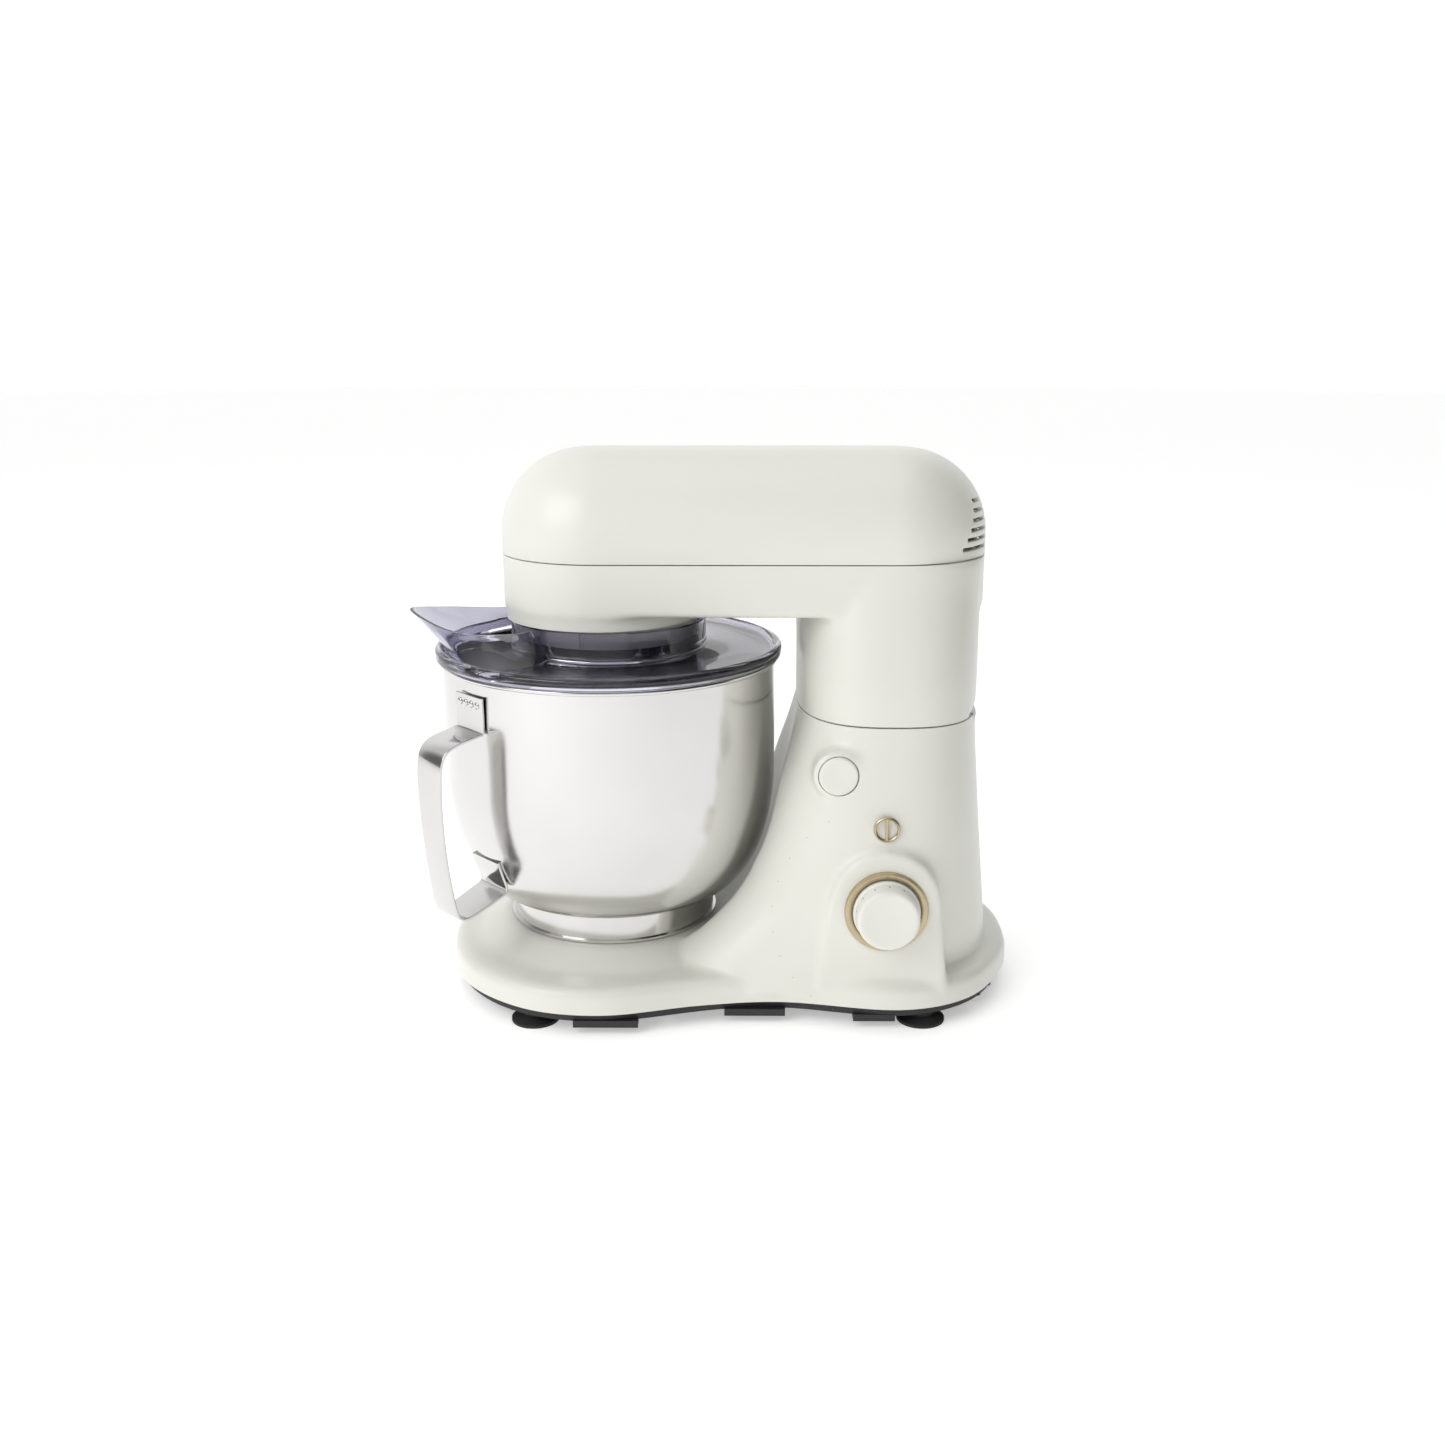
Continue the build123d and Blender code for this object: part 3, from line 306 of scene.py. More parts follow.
POLISHED_STEEL = Finish("polished_steel", (0.72, 0.71, 0.70), (0.62, 0.61, 0.60), 0.13,
                        Grain.DRAWN_Z, 0.000002, metallic=1.0, spread=0.07)
GROUND_STEEL = Finish("ground_steel", (0.56, 0.56, 0.57), (0.44, 0.44, 0.45), 0.27, Grain.DRAWN_Z,
                      0.00001, metallic=1.0, spread=0.16)
ZINC = Finish("zinc_screws", (0.66, 0.66, 0.62), (0.50, 0.50, 0.46), 0.36, Grain.CAST, 0.00002,
              metallic=1.0, spread=0.15, patches=160.0)
CAST_ALLOY = Finish("cast_alloy", (0.60, 0.61, 0.62), (0.48, 0.49, 0.50), 0.44, Grain.CAST, 0.00009,
                    metallic=1.0, spread=0.18)
BEATER_ALLOY = Finish("beater_alloy", (0.66, 0.67, 0.68), (0.55, 0.56, 0.57), 0.34, Grain.CAST,
                      0.00004, metallic=1.0, spread=0.12)
ACETAL = Finish("acetal_gears", (0.80, 0.78, 0.70), (0.72, 0.70, 0.61), 0.40, Grain.MOULDED,
                0.00003)
BRONZE = Finish("bronze_bushes", (0.58, 0.39, 0.20), (0.42, 0.27, 0.13), 0.40, Grain.CAST, 0.00005,
                metallic=1.0)
MOTOR_STEEL = Finish("motor_steel", (0.25, 0.25, 0.26), (0.14, 0.14, 0.15), 0.46, Grain.LAMINATED,
                     0.00016, metallic=0.9)
COPPER_WIRE = Finish("copper_wire", (0.72, 0.30, 0.13), (0.45, 0.16, 0.06), 0.30, Grain.WOUND,
                     0.0003, metallic=1.0)
PRINTED_GREY = Finish("printed_grey", (0.22, 0.22, 0.23), (0.16, 0.16, 0.17), 0.55, Grain.SATIN,
                      0.000004)
SMOKED_CLEAR = ClearPlastic("smoked_clear", (0.56, 0.55, 0.64), (0.51, 0.50, 0.60), 0.02)
CIRCUIT_BOARD = BoardFinish("circuit_board")
FLOOR = Finish("studio_floor", (0.93, 0.93, 0.925), (0.915, 0.915, 0.91), 0.65, Grain.SATIN,
               0.00001, patches=3.0)

SLOT_FINISH = {
    "shell_white": SHELL_WHITE,
    "black_plastic": BLACK_PLASTIC,
    "black_rubber": BLACK_RUBBER,
    "zinc_screws": ZINC,
    "antique_gold": ANTIQUE_GOLD,
    "circuit_board": CIRCUIT_BOARD,
    "cast_alloy": CAST_ALLOY,
    "ground_steel": GROUND_STEEL,
    "acetal_gears": ACETAL,
    "bronze_bushes": BRONZE,
    "motor_steel": MOTOR_STEEL,
    "copper_wire": COPPER_WIRE,
    "smoked_clear": SMOKED_CLEAR,
    "brushed_bowl": SPUN_STEEL,
    "polished_steel": POLISHED_STEEL,
    "beater_alloy": BEATER_ALLOY,
}
MADE: dict[str, bpy.types.Material] = {}


def material(finish: Union[Finish, ClearPlastic, BoardFinish]) -> bpy.types.Material:
    """Material of a finish, made once."""
    if finish.name not in MADE:
        MADE[finish.name] = finish.build()
    return MADE[finish.name]


# ----------------------------------------------------------------------------
# Modelling bench
# ----------------------------------------------------------------------------
def deselect() -> None:
    """Leaves edit mode and deselects everything."""
    if bpy.context.object and bpy.context.object.mode != "OBJECT":
        bpy.ops.object.mode_set(mode="OBJECT")
    bpy.ops.object.select_all(action="DESELECT")


def pick(piece: bpy.types.Object) -> bpy.types.Object:
    """Makes one piece the only selected and active one."""
    deselect()
    piece.select_set(True)
    bpy.context.view_layer.objects.active = piece
    return piece


def edit(piece: bpy.types.Object) -> bmesh.types.BMesh:
    """Opens a piece in edit mode, all of it selected."""
    pick(piece)
    bpy.ops.object.mode_set(mode="EDIT")
    bpy.ops.mesh.select_all(action="SELECT")
    return bmesh.from_edit_mesh(piece.data)


def set_ring(piece: bpy.types.Object, ring: Ring, before: dict[int, int]) -> dict[int, int]:
    """Moves the selected loop onto a ring.

    Args:
        piece: Piece in edit mode, with the new loop selected.
        ring: Points of the ring.
        before: Ring place of each vertex of the loop that this one was extruded from.

    Returns:
        Ring place of each vertex of the new loop.
    """
    mesh = bmesh.from_edit_mesh(piece.data)
    mesh.verts.ensure_lookup_table()
    after = {}
    for vertex in mesh.verts:
        if not vertex.select:
            continue
        for edge in vertex.link_edges:
            other = edge.other_vert(vertex)
            if not other.select and other.index in before:
                after[vertex.index] = before[other.index]
                vertex.co = ring[before[other.index]]
    bmesh.update_edit_mesh(piece.data)
    return after


def loft(name: str, rings: Sequence[Ring], loop: bool = False) -> bpy.types.Object:
    """Skins a stack of rings by extruding a circle from one to the next.

    Args:
        name: Name of the piece.
        rings: Rings of equal length, in metres.
        loop: Whether the last ring is bridged back to the first, or both ends filled.

    Returns:
        The piece, with its normals outwards.
    """
    deselect()
    count = len(rings[0])
    bpy.ops.mesh.primitive_circle_add(vertices=count, radius=0.01)
    piece = bpy.context.object
    piece.name = name
    mesh = edit(piece)
    mesh.verts.ensure_lookup_table()
    for vertex in mesh.verts:
        vertex.co = rings[0][vertex.index]
    bmesh.update_edit_mesh(piece.data)
    if not loop:
        bpy.ops.mesh.edge_face_add()
        bpy.ops.mesh.select_all(action="SELECT")
    places = {index: index for index in range(count)}
    for ring in rings[1:]:
        bpy.ops.mesh.extrude_region_move()
        places = set_ring(piece, ring, places)
    if loop:
        bpy.ops.mesh.select_all(action="DESELECT")
        bpy.ops.mesh.select_non_manifold()
        bpy.ops.mesh.bridge_edge_loops()
    return tidy(piece)


def tidy(piece: bpy.types.Object) -> bpy.types.Object:
    """Merges doubles and turns the faces outwards."""
    edit(piece)
    bpy.ops.mesh.remove_doubles(threshold=WELD_DISTANCE)
    bpy.ops.mesh.select_all(action="SELECT")
    bpy.ops.mesh.normals_make_consistent(inside=False)
    deselect()
    return piece


def modifier(piece: bpy.types.Object, kind: str, **settings: object) -> None:
    """Adds a modifier and applies it."""
    pick(piece)
    added = piece.modifiers.new(kind.lower(), kind)
    for key, value in settings.items():
        setattr(added, key, value)
    bpy.ops.object.modifier_apply(modifier=added.name)


def carve(piece: bpy.types.Object, tool: bpy.types.Object) -> bpy.types.Object:
    """Cuts a tool piece out of a piece and removes the tool."""
    modifier(piece, "BOOLEAN", operation="DIFFERENCE", object=tool, solver="EXACT")
    bpy.data.objects.remove(tool)
    return piece


def merged(pieces: Sequence[bpy.types.Object]) -> bpy.types.Object:
    """Joins several pieces into the first one."""
    deselect()
    for piece in pieces:
        piece.select_set(True)
    bpy.context.view_layer.objects.active = pieces[0]
    bpy.ops.object.join()
    return bpy.context.object


def blended(piece: bpy.types.Object) -> bpy.types.Object:
    """Fuses overlapping volumes and softens where they meet."""
    modifier(piece, "REMESH", mode="VOXEL", voxel_size=BLEND_VOXEL * MM, adaptivity=0.0)
    modifier(piece, "SMOOTH", factor=0.5, iterations=BLEND_PASSES)
    return piece


def trimmed(piece: bpy.types.Object, height: float, keep_above: bool) -> bpy.types.Object:
    """Cuts a piece flat at a height and fills the cut."""
    edit(piece)
    bpy.ops.mesh.bisect(plane_co=(0, 0, height * MM), plane_no=(0, 0, 1), use_fill=True,
                        clear_inner=keep_above, clear_outer=not keep_above)
    deselect()
    return piece


def softened(piece: bpy.types.Object, width: float, segments: int = 2,
             angle: float = 32.0) -> bpy.types.Object:
    """Rounds a piece's hard edges."""
    modifier(piece, "BEVEL", width=width * MM, segments=segments, limit_method="ANGLE",
             angle_limit=math.radians(angle), harden_normals=False)
    return piece


def finished(piece: bpy.types.Object, body: str, slot: str, nodes: Sequence[str] = (),
             angle: float = 35.0,
             finish: Union[Finish, ClearPlastic, None] = None) -> bpy.types.Object:
    """Gives a piece its shading, its material and its body.

    Args:
        piece: Piece with its place in its mesh.
        body: CAD body it moves with.
        slot: Material slot of the record.
        nodes: CAD nodes it stands for.
        angle: Edges sharper than this many degrees stay sharp.
        finish: Finish, where it isn't the slot's own.

    Returns:
        The piece.
    """
    pick(piece)
    bpy.ops.object.transform_apply(location=True, rotation=True, scale=True)
    bpy.ops.object.shade_smooth_by_angle(angle=math.radians(angle))
    piece.data.materials.clear()
    piece.data.materials.append(material(finish or SLOT_FINISH[slot]))
    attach(piece, body)
    if nodes:
        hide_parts(*nodes)
    LOG.info("%s: %d faces on %s", piece.name, len(piece.data.polygons), body)
    return piece


def circle(radius: float, z: float, x: float = 0.0, count: int = 96) -> Ring:
    """Ring of points at a height."""
    turn = [2 * math.pi * step / count for step in range(count)]
    return [spot(x + radius * math.cos(a), radius * math.sin(a), z) for a in turn]


def lathe(name: str, profile: Sequence[tuple[float, float]], x: float = 0.0,
          count: int = 96, loop: bool = False) -> bpy.types.Object:
    """Turned piece from radius and height pairs."""
    return loft(name, [circle(max(r, 0.001), z, x, count) for r, z in profile], loop=loop)


def arc(cx: float, cy: float, radius: float, start: float, end: float,
        steps: int) -> list[tuple[float, float]]:
    """Points on an arc, with angles in degrees."""
    angles = [math.radians(start + (end - start) * step / steps) for step in range(steps + 1)]
    return [(cx + radius * math.cos(a), cy + radius * math.sin(a)) for a in angles]


def smooth_rows(rows: Sequence[Sequence[float]], steps: int) -> list[list[float]]:
    """Interpolates a table of rows with a smooth curve through each column.

    Args:
        rows: Table rows, at least two.
        steps: Rows made between two given ones.

    Returns:
        The longer table.
    """
    table = []
    for index in range(len(rows) - 1):
        before = rows[max(index - 1, 0)]
        a, b = rows[index], rows[index + 1]
        after = rows[min(index + 2, len(rows) - 1)]
        for step in range(steps):
            t = step / steps
            row = []
            for p, q, r, s in zip(before, a, b, after):
                m, n = (r - p) / 2, (s - q) / 2
                row.append(q * (2 * t**3 - 3 * t**2 + 1) + m * (t**3 - 2 * t**2 + t)
                           + r * (3 * t**2 - 2 * t**3) + n * (t**3 - t**2))
            table.append(row)
    table.append(list(rows[-1]))
    return table


def turned_to_side(piece: bpy.types.Object, x: float, y: float, z: float) -> bpy.types.Object:
    """Turns a piece modelled along +Z at the world's origin to face -Y, and sets it in place."""
    pick(piece)
    turn = Matrix.Rotation(math.radians(90), 4, "X")
    piece.data.transform(Matrix.Translation(spot(x, y, z)) @ turn)
    return piece


def centred_lathe(name: str, profile: Sequence[tuple[float, float]], count: int = 96,
                  loop: bool = False) -> bpy.types.Object:
    """Turned piece about the world's origin."""
    piece = lathe(name, profile, count=count, loop=loop)
    piece.data.transform(Matrix.Translation((-AXIS_X, 0, 0)))
    return piece


# ----------------------------------------------------------------------------
# Sub-assemblies
# ----------------------------------------------------------------------------
OUTLINE_POINTS = 120


def superellipse(z: float, rear: float, front: float, half: float, power: float) -> Ring:
    """Plan section of the column or the neck at a height."""
    middle, reach = (rear + front) / 2, (rear - front) / 2
    ring = []
    for step in range(OUTLINE_POINTS):
        turn = 2 * math.pi * step / OUTLINE_POINTS
        c, s = math.cos(turn), math.sin(turn)
        x = middle + reach * math.copysign(abs(c) ** (2 / power), c)
        ring.append(spot(x, half * math.copysign(abs(s) ** (2 / power), s), z))
    return ring


def closed_curve(points: Sequence[Sequence[float]], steps: int) -> list[list[float]]:
    """Smooth closed curve through points, with a number of steps between each two."""
    count = len(points)
    curve = []
    for index in range(count):
        a, b, c, d = (points[(index + shift) % count] for shift in (-1, 0, 1, 2))
        for step in range(steps):
            t = step / steps
            curve.append([0.5 * (2 * q + (r - p) * t + (2 * p - 5 * q + 4 * r - s) * t * t
                                 + (3 * q - p - 3 * r + s) * t**3) for p, q, r,
                                 s in zip(a, b, c, d)])
    return curve


def inset_curve(curve: Sequence[Sequence[float]], inset: float) -> list[list[float]]:
    """Closed plan curve, drawn anticlockwise, moved inwards."""
    moved = []
    for index, point in enumerate(curve):
        before, after = curve[index - 1], curve[(index + 1) % len(curve)]
        along = Vector((after[0] - before[0], after[1] - before[1])).normalized()
        moved.append([point[0] - inset * along.y, point[1] + inset * along.x, *point[2:]])
    return moved


def stadium_ring(z: float, front: float, rear: float, half: float, inset: float) -> Ring:
    """Round-ended outline at a height, moved inwards by an inset."""
    radius = half - inset
    left, right = front + half, rear - half
    ring = []
    for step in range(49):
        a = math.radians(-90 + 180 * step / 48)
        ring.append(spot(right + radius * math.cos(a), radius * math.sin(a), z))
    for step in range(1, 12):
        ring.append(spot(right + (left - right) * step / 12, radius, z))
    for step in range(49):
        a = math.radians(90 + 180 * step / 48)
        ring.append(spot(left + radius * math.cos(a), radius * math.sin(a), z))
    for step in range(1, 12):
        ring.append(spot(left + (right - left) * step / 12, -radius, z))
    return ring


def bar(name: str, low: Sequence[float], high: Sequence[float]) -> bpy.types.Object:
    """Cutting block between two corners."""
    a, b = spot(*low), spot(*high)
    corners = ((a.x, a.y), (b.x, a.y), (b.x, b.y), (a.x, b.y))
    rings = [[Vector((x, y, z)) for x, y in corners] for z in (a.z, b.z)]
    return loft(name, rings)


def side_rod(name: str, radius: float, near: float, far: float, x: float, z: float,
             count: int = 64) -> bpy.types.Object:
    """Round bar along Y, from the near station to the far one."""
    piece = centred_lathe(name, [(radius, -far), (radius, -near)], count)
    return turned_to_side(piece, x, 0, z)


def hinge_bay() -> bpy.types.Object:
    """Round cutting bar that clears the hinge's knuckles."""
    return side_rod("hinge_bay", HINGE_BAY_RADIUS, -HINGE_BAY_HALF, HINGE_BAY_HALF, *HINGE_LINE, 48)


@dataclass
class Studio:
    """Floor, light and camera."""

    camera_place: tuple[float, float, float] = (0.01278, -0.95230, 0.42603)
    camera_turn: tuple[float, float, float] = (74.906, 0.0, 0.412)
    lens: float = 37.37
    floor_radius: float = 9.0
    front: float = 0.69
    left: float = 0.16
    right: float = 0.04
    right_edge: tuple[float, float] = (0.05, 0.7)
    left_edge: tuple[float, float] = (-0.82, -0.97)
    back_edge: tuple[float, float] = (0.3, 0.75)
    floor_glow: float = 0.4
    aim: tuple[float, float, float] = (0.0, 0.0, 0.15)
    lamps: tuple = (("key", (-1.25, -1.1, 1.35), 1.2, 13.0), ("top", (0.0, 0.1, 2.2), 1.8, 7.0))

    def build(self) -> None:
        """Makes the floor, the lights, the world and the camera."""
        self.floor()
        self.world()
        for lamp in self.lamps:
            self.light(*lamp)
        self.camera()
        bpy.context.scene.view_settings.view_transform = "Standard"

    def floor(self) -> None:
        """Makes the plain floor, a little brighter than it would be by itself."""
        deselect()
        bpy.ops.mesh.primitive_circle_add(vertices=64, radius=self.floor_radius, fill_type="NGON")
        piece = bpy.context.object
        piece.name = "studio_floor"
        pale = material(FLOOR)
        glow = next(node for node in pale.node_tree.nodes if node.type == "BSDF_PRINCIPLED")
        glow.inputs["Emission Color"].default_value = (1.0, 1.0, 1.0, 1.0)
        glow.inputs["Emission Strength"].default_value = self.floor_glow
        piece.data.materials.append(pale)

    def world(self) -> None:
        """Makes a bright surround that falls off to both sides."""
        world = bpy.data.worlds.new("studio")
        shader = Shader(world, "ShaderNodeBackground", "ShaderNodeOutputWorld")
        direction = shader.node("ShaderNodeTexCoord", {}, {}, "Generated")
        across = shader.node("ShaderNodeSeparateXYZ", {}, {0: direction}, "X")
        along = shader.node("ShaderNodeSeparateXYZ", {}, {0: direction}, "Y")
        right = shader.smooth(across, *self.right_edge)
        left = shader.smooth(across, *self.left_edge)
        back = shader.smooth(along, *self.back_edge)
        front_light = self.front - right * (self.front - self.right)
        front_light = front_light - left * (self.front - self.left)
        light = front_light + back * (1.0 - front_light)
        shader.finish({"Color": (1.0, 1.0, 1.0, 1.0), "Strength": light})
        bpy.context.scene.world = world

    def light(self, name: str, place: Sequence[float], size: float, power: float) -> None:
        """Makes one soft lamp aimed at the mixer."""
        lamp = bpy.data.lights.new(name, "AREA")
        lamp.energy = power
        lamp.size = size
        holder = bpy.data.objects.new(name, lamp)
        holder.location = place
        direction = Vector(self.aim) - Vector(place)
        holder.rotation_euler = direction.to_track_quat("-Z", "Y").to_euler()
        bpy.context.scene.collection.objects.link(holder)

    def camera(self) -> None:
        """Makes the camera."""
        data = bpy.data.cameras.new("camera")
        data.lens = self.lens
        data.sensor_width = 36.0
        holder = bpy.data.objects.new("camera", data)
        holder.location = self.camera_place
        holder.rotation_euler = [math.radians(value) for value in self.camera_turn]
        bpy.context.scene.collection.objects.link(holder)
        bpy.context.scene.camera = holder


@dataclass
class Pedestal:
    """Base, column, control boss and button pad in one moulding."""

    side: tuple = ((-93.0, 62.0), (-51.0, 103.0), (0.0, 114.0), (60.0, 99.5), (112.0, 94.0),
                   (183.0, 105.0), (229.0, 86.0), (257.0, 40.0))
    front: float = -107.0
    rear: float = 263.0
    bottom: float = 14.0
    top: float = 30.0
    edge: float = 6.0
    seam: float = 187.0
    column: tuple = ((20.0, 249.5, 4.0, 98.0, 2.4), (49.0, 247.0, 45.8, 97.0, 2.5),
                     (74.0, 244.5, 73.0, 96.0, 2.5), (98.0, 242.2, 88.0, 94.5, 2.5),
                     (120.0, 240.0, 98.5, 92.5, 2.6), (142.0, 238.0, 106.5, 89.5, 2.7),
                     (165.0, 236.2, 115.0, 85.5, 2.7), (187.0, 235.1, 121.5, 81.0, 2.7),
                     (200.0, 234.8, 125.0, 79.0, 2.7))
    scoop: tuple = ((74.0, 24.0), (76.0, 41.5), (84.0, 50.0), (98.0, 70.0), (108.5, 94.0),
                    (114.0, 115.0), (116.5, 142.0), (119.5, 165.0), (121.5, 187.0), (121.5, 205.0))
    pad_radius: float = 15.5
    pad_root: float = -60.0
    bore_radius: float = 12.45
    bore_depth: float = 16.0
    spindle_radius: float = 4.6
    spindle_end: float = -88.0
    clear_of_side: float = -120.0
    pocket: tuple = (9.3, 20.0)
    pocket_place: tuple = (244.5, 0.0, 60.0)

    def outline(self, inset: float, z: float) -> Ring:
        """Waisted plan outline of the base."""
        loop = [(self.front, 0.0)] + [(x, -y) for x, y in self.side] + [(self.rear, 0.0)]
        loop += [(x, y) for x, y in reversed(self.side)]
        return [spot(x, y, z) for x, y in inset_curve(closed_curve(loop, 8), inset)]

    def slab(self) -> bpy.types.Object:
        """Base with its rounded top edge."""
        rings = [self.outline(0, self.bottom - 8), self.outline(0, self.top - self.edge)]
        for offset, height in arc(self.edge, self.top - self.edge, self.edge, 180, 90, 6)[1:]:
            rings.append(self.outline(offset, height))
        return loft("slab", rings)

    def boss(self) -> bpy.types.Object:
        """Arched boss behind the speed knob."""
        x, face, _ = KNOB_PLACE
        arch = [(213.0, 24.0), (207.5, 84.0)] + arc(x, 80.5, 33.8, 6, 174, 16) + [(139.0, 84.0),
                                                                                  (133.0, 24.0)]
        rings = [[spot(px, y, pz) for px, pz in arch] for y in (self.pad_root, face)]
        return loft("boss", rings)

    def build(self) -> None:
        """Builds the moulding and dresses it."""
        column = loft("column", [superellipse(*row) for row in smooth_rows(self.column, 6)])
        hollow = lathe("hollow", [(74.0, 10.0)] + smooth_rows(self.scoop, 4), count=128)
        carve(column, hollow)
        seat = lathe("seat", [(98.0, 26.0), (72.0, 41.5)])
        bx, by, bz = BUTTON_PLACE
        pad = side_rod("pad", self.pad_radius, by, self.pad_root, bx, bz)
        piece = merged([self.slab(), column, seat, self.boss(), pad])
        piece.name = "pedestal_body"
        blended(piece)
        trimmed(piece, self.seam, keep_above=False)
        trimmed(piece, self.bottom, keep_above=True)
        self.cut(piece)
        finished(piece, "stand", "shell_white", ["pedestal_shell"], angle=42)

    def cut(self, piece: bpy.types.Object) -> None:
        """Cuts the button's bore, the spindle hole and the hinge bay."""
        bx, by, bz = BUTTON_PLACE
        kx, _, kz = KNOB_PLACE
        hx, hz = HINGE_LINE
        side = self.clear_of_side
        carve(piece, side_rod("bore", self.bore_radius, side, by + self.bore_depth, bx, bz, 96))
        carve(piece, side_rod("spindle_hole", self.spindle_radius, side, self.spindle_end, kx, kz))
        carve(piece, hinge_bay())
        carve(piece, bar("hinge_notch", (196, -20.6, hz - 12), (hx + 20, 20.6, hz + 4)))
        carve(piece, bar("tongue_slot", (134, -4, 170), (158, 12, 200)))
        carve(piece, self.inlet())

    def inlet(self) -> bpy.types.Object:
        """Round pocket for the sunk inlet bush."""
        radius, depth = self.pocket
        piece = centred_lathe("inlet", [(radius, 0.0), (radius, depth)])
        turn = Matrix.Rotation(math.radians(90), 4, "Y")
        piece.data.transform(Matrix.Translation(spot(*self.pocket_place)) @ turn)
        return piece


@dataclass
class Head:
    """Cover, lower shell and their seams."""

    front: float = -66.5
    rear: float = 239.5
    half: float = 62.7
    seam: float = 283.5
    gap: float = 0.7
    top: float = 348.0
    crown: float = 52.0
    under: float = 250.7
    drum_bottom: float = 242.0
    drum_radius: float = 61.0
    wall: float = 3.0
    neck: tuple = ((176.0, 235.0, 121.5, 82.5, 2.7), (188.0, 235.1, 121.5, 81.0, 2.7),
                   (212.0, 235.5, 121.5, 78.5, 2.7), (238.0, 236.0, 121.0, 73.0, 2.6),
                   (264.0, 236.8, 119.5, 66.0, 2.5), (283.0, 238.5, 118.0, 62.0, 2.5))
    mouth: float = 49.5
    vents: int = 6
    vent_first: float = 288.5
    vent_pitch: float = 5.6
    vent_height: float = 2.6
    vent_reach: float = 46.0
    vent_taper: float = 3.2
    tilt_clearance: float = 44.0

    def crown_rings(self, inset: float, bottom: float) -> list[Ring]:
        """Rings of the cover's outside, or of its inside."""
        rings = [stadium_ring(bottom, self.front, self.rear, self.half, inset)]
        radius = self.crown - inset
        for offset, height in arc(self.crown, self.top - self.crown, radius, 180, 90, 22):
            rings.append(stadium_ring(height, self.front, self.rear, self.half, offset))
        return rings

    def build(self) -> None:
        """Builds both shells."""
        self.cover()
        self.body()

    def cover(self) -> None:
        """Upper shell with its rear vents."""
        piece = loft("cover_shell", self.crown_rings(0, self.seam))
        carve(piece, loft("cover_inside", self.crown_rings(self.wall, self.seam - 1)))
        for step in range(self.vents):
            z = self.vent_first + self.vent_pitch * step
            reach = self.vent_reach - self.vent_taper * step
            for side in (-1, 1):
                for start, end in ((1.4, 14.6), (17.4, reach)):
                    y0, y1 = sorted((side * start, side * end))
                    low = (self.rear - 46, y0, z)
                    carve(piece, bar("vent", low, (self.rear + 20, y1, z + self.vent_height)))
        softened(piece, 0.35, 2, 50)
        finished(piece, "head", "shell_white", ["head_cover"], angle=40)

    def body(self) -> None:
        """Lower shell: drum, arm and neck flowing into each other."""
        levels = (self.under, self.seam + 8)
        arm = loft("arm", [stadium_ring(z, self.front, self.rear, self.half, 0) for z in levels])
        drum = lathe("drum",
                     [(self.drum_radius, self.drum_bottom - 10), (self.drum_radius + 1.4, 275)],
                     x=self.front + self.half)
        neck = loft("neck", [superellipse(*row) for row in smooth_rows(self.neck, 5)])
        piece = merged([arm, drum, neck])
        piece.name = "head_shell"
        blended(piece)
        trimmed(piece, self.seam - self.gap, keep_above=False)
        trimmed(piece, HINGE_LINE[1] + 0.5, keep_above=True)
        carve(piece, bar("drum_cut", (self.front - 10, -80, 200), (100, 80, self.drum_bottom)))
        self.cut(piece)
        finished(piece, "head", "shell_white", ["head_body"], angle=42)

    def cut(self, piece: bpy.types.Object) -> None:
        """Cuts the drum's mouth, the neck's recess and the hinge bay."""
        hx, hz = HINGE_LINE
        low, high = self.drum_bottom - 4, self.drum_bottom + 14
        carve(piece, lathe("mouth", [(self.mouth, low), (self.mouth, high)]))
        recess = [superellipse(z, 235.1 - 3, 121.5 + 3, 78.0, 2.7) for z in (hz - 1, hz + 4.2)]
        carve(piece, loft("neck_recess", recess))
        carve(piece, hinge_bay())
        rise = 24 * math.tan(math.radians(self.tilt_clearance))
        wedge = [(hx - 1, hz - 1), (hx + 23, hz - 1), (hx + 23, hz - 1 + rise)]
        carve(piece, loft("tilt_relief", [[spot(x, y, z) for x, z in wedge] for y in (-60, 60)]))


@dataclass
class Bowl:
    """Spun steel bowl with a rolled rim."""

    radius: float = 107.3
    wall: float = 1.0
    rim: float = 215.0
    bend: float = 142.0
    floor: float = 60.0
    floor_radius: float = 66.5

    def profile(self, inset: float) -> list[tuple[float, float]]:
        """Wall from the floor's edge up to the rim."""
        points = []
        for step in range(25):
            a = math.radians(90 * step / 24)
            widening = (self.radius - self.floor_radius) * math.sin(a)
            r = self.floor_radius + widening - inset * math.sin(a)
            points.append((r, self.bend - (self.bend - self.floor - inset) * math.cos(a)))
        return points + [(self.radius - inset, 165.0), (self.radius - inset, 190.0)]

    def build(self) -> None:
        """Builds the bowl and dresses it."""
        outside = [(1.0, self.floor), (40.0, self.floor)] + self.profile(0)
        roll = arc(self.radius + 0.4, self.rim, 1.6, -110, 200, 14)
        inside = list(reversed(self.profile(self.wall)))
        floor = self.floor + self.wall
        centre = [(40.0, floor + 1.2), (34.0, floor), (1.0, floor)]
        piece = lathe("bowl_shell", outside + roll + inside + centre, count=192)
        finished(piece, "bowl", "brushed_bowl", ["mixing_bowl"], angle=50)


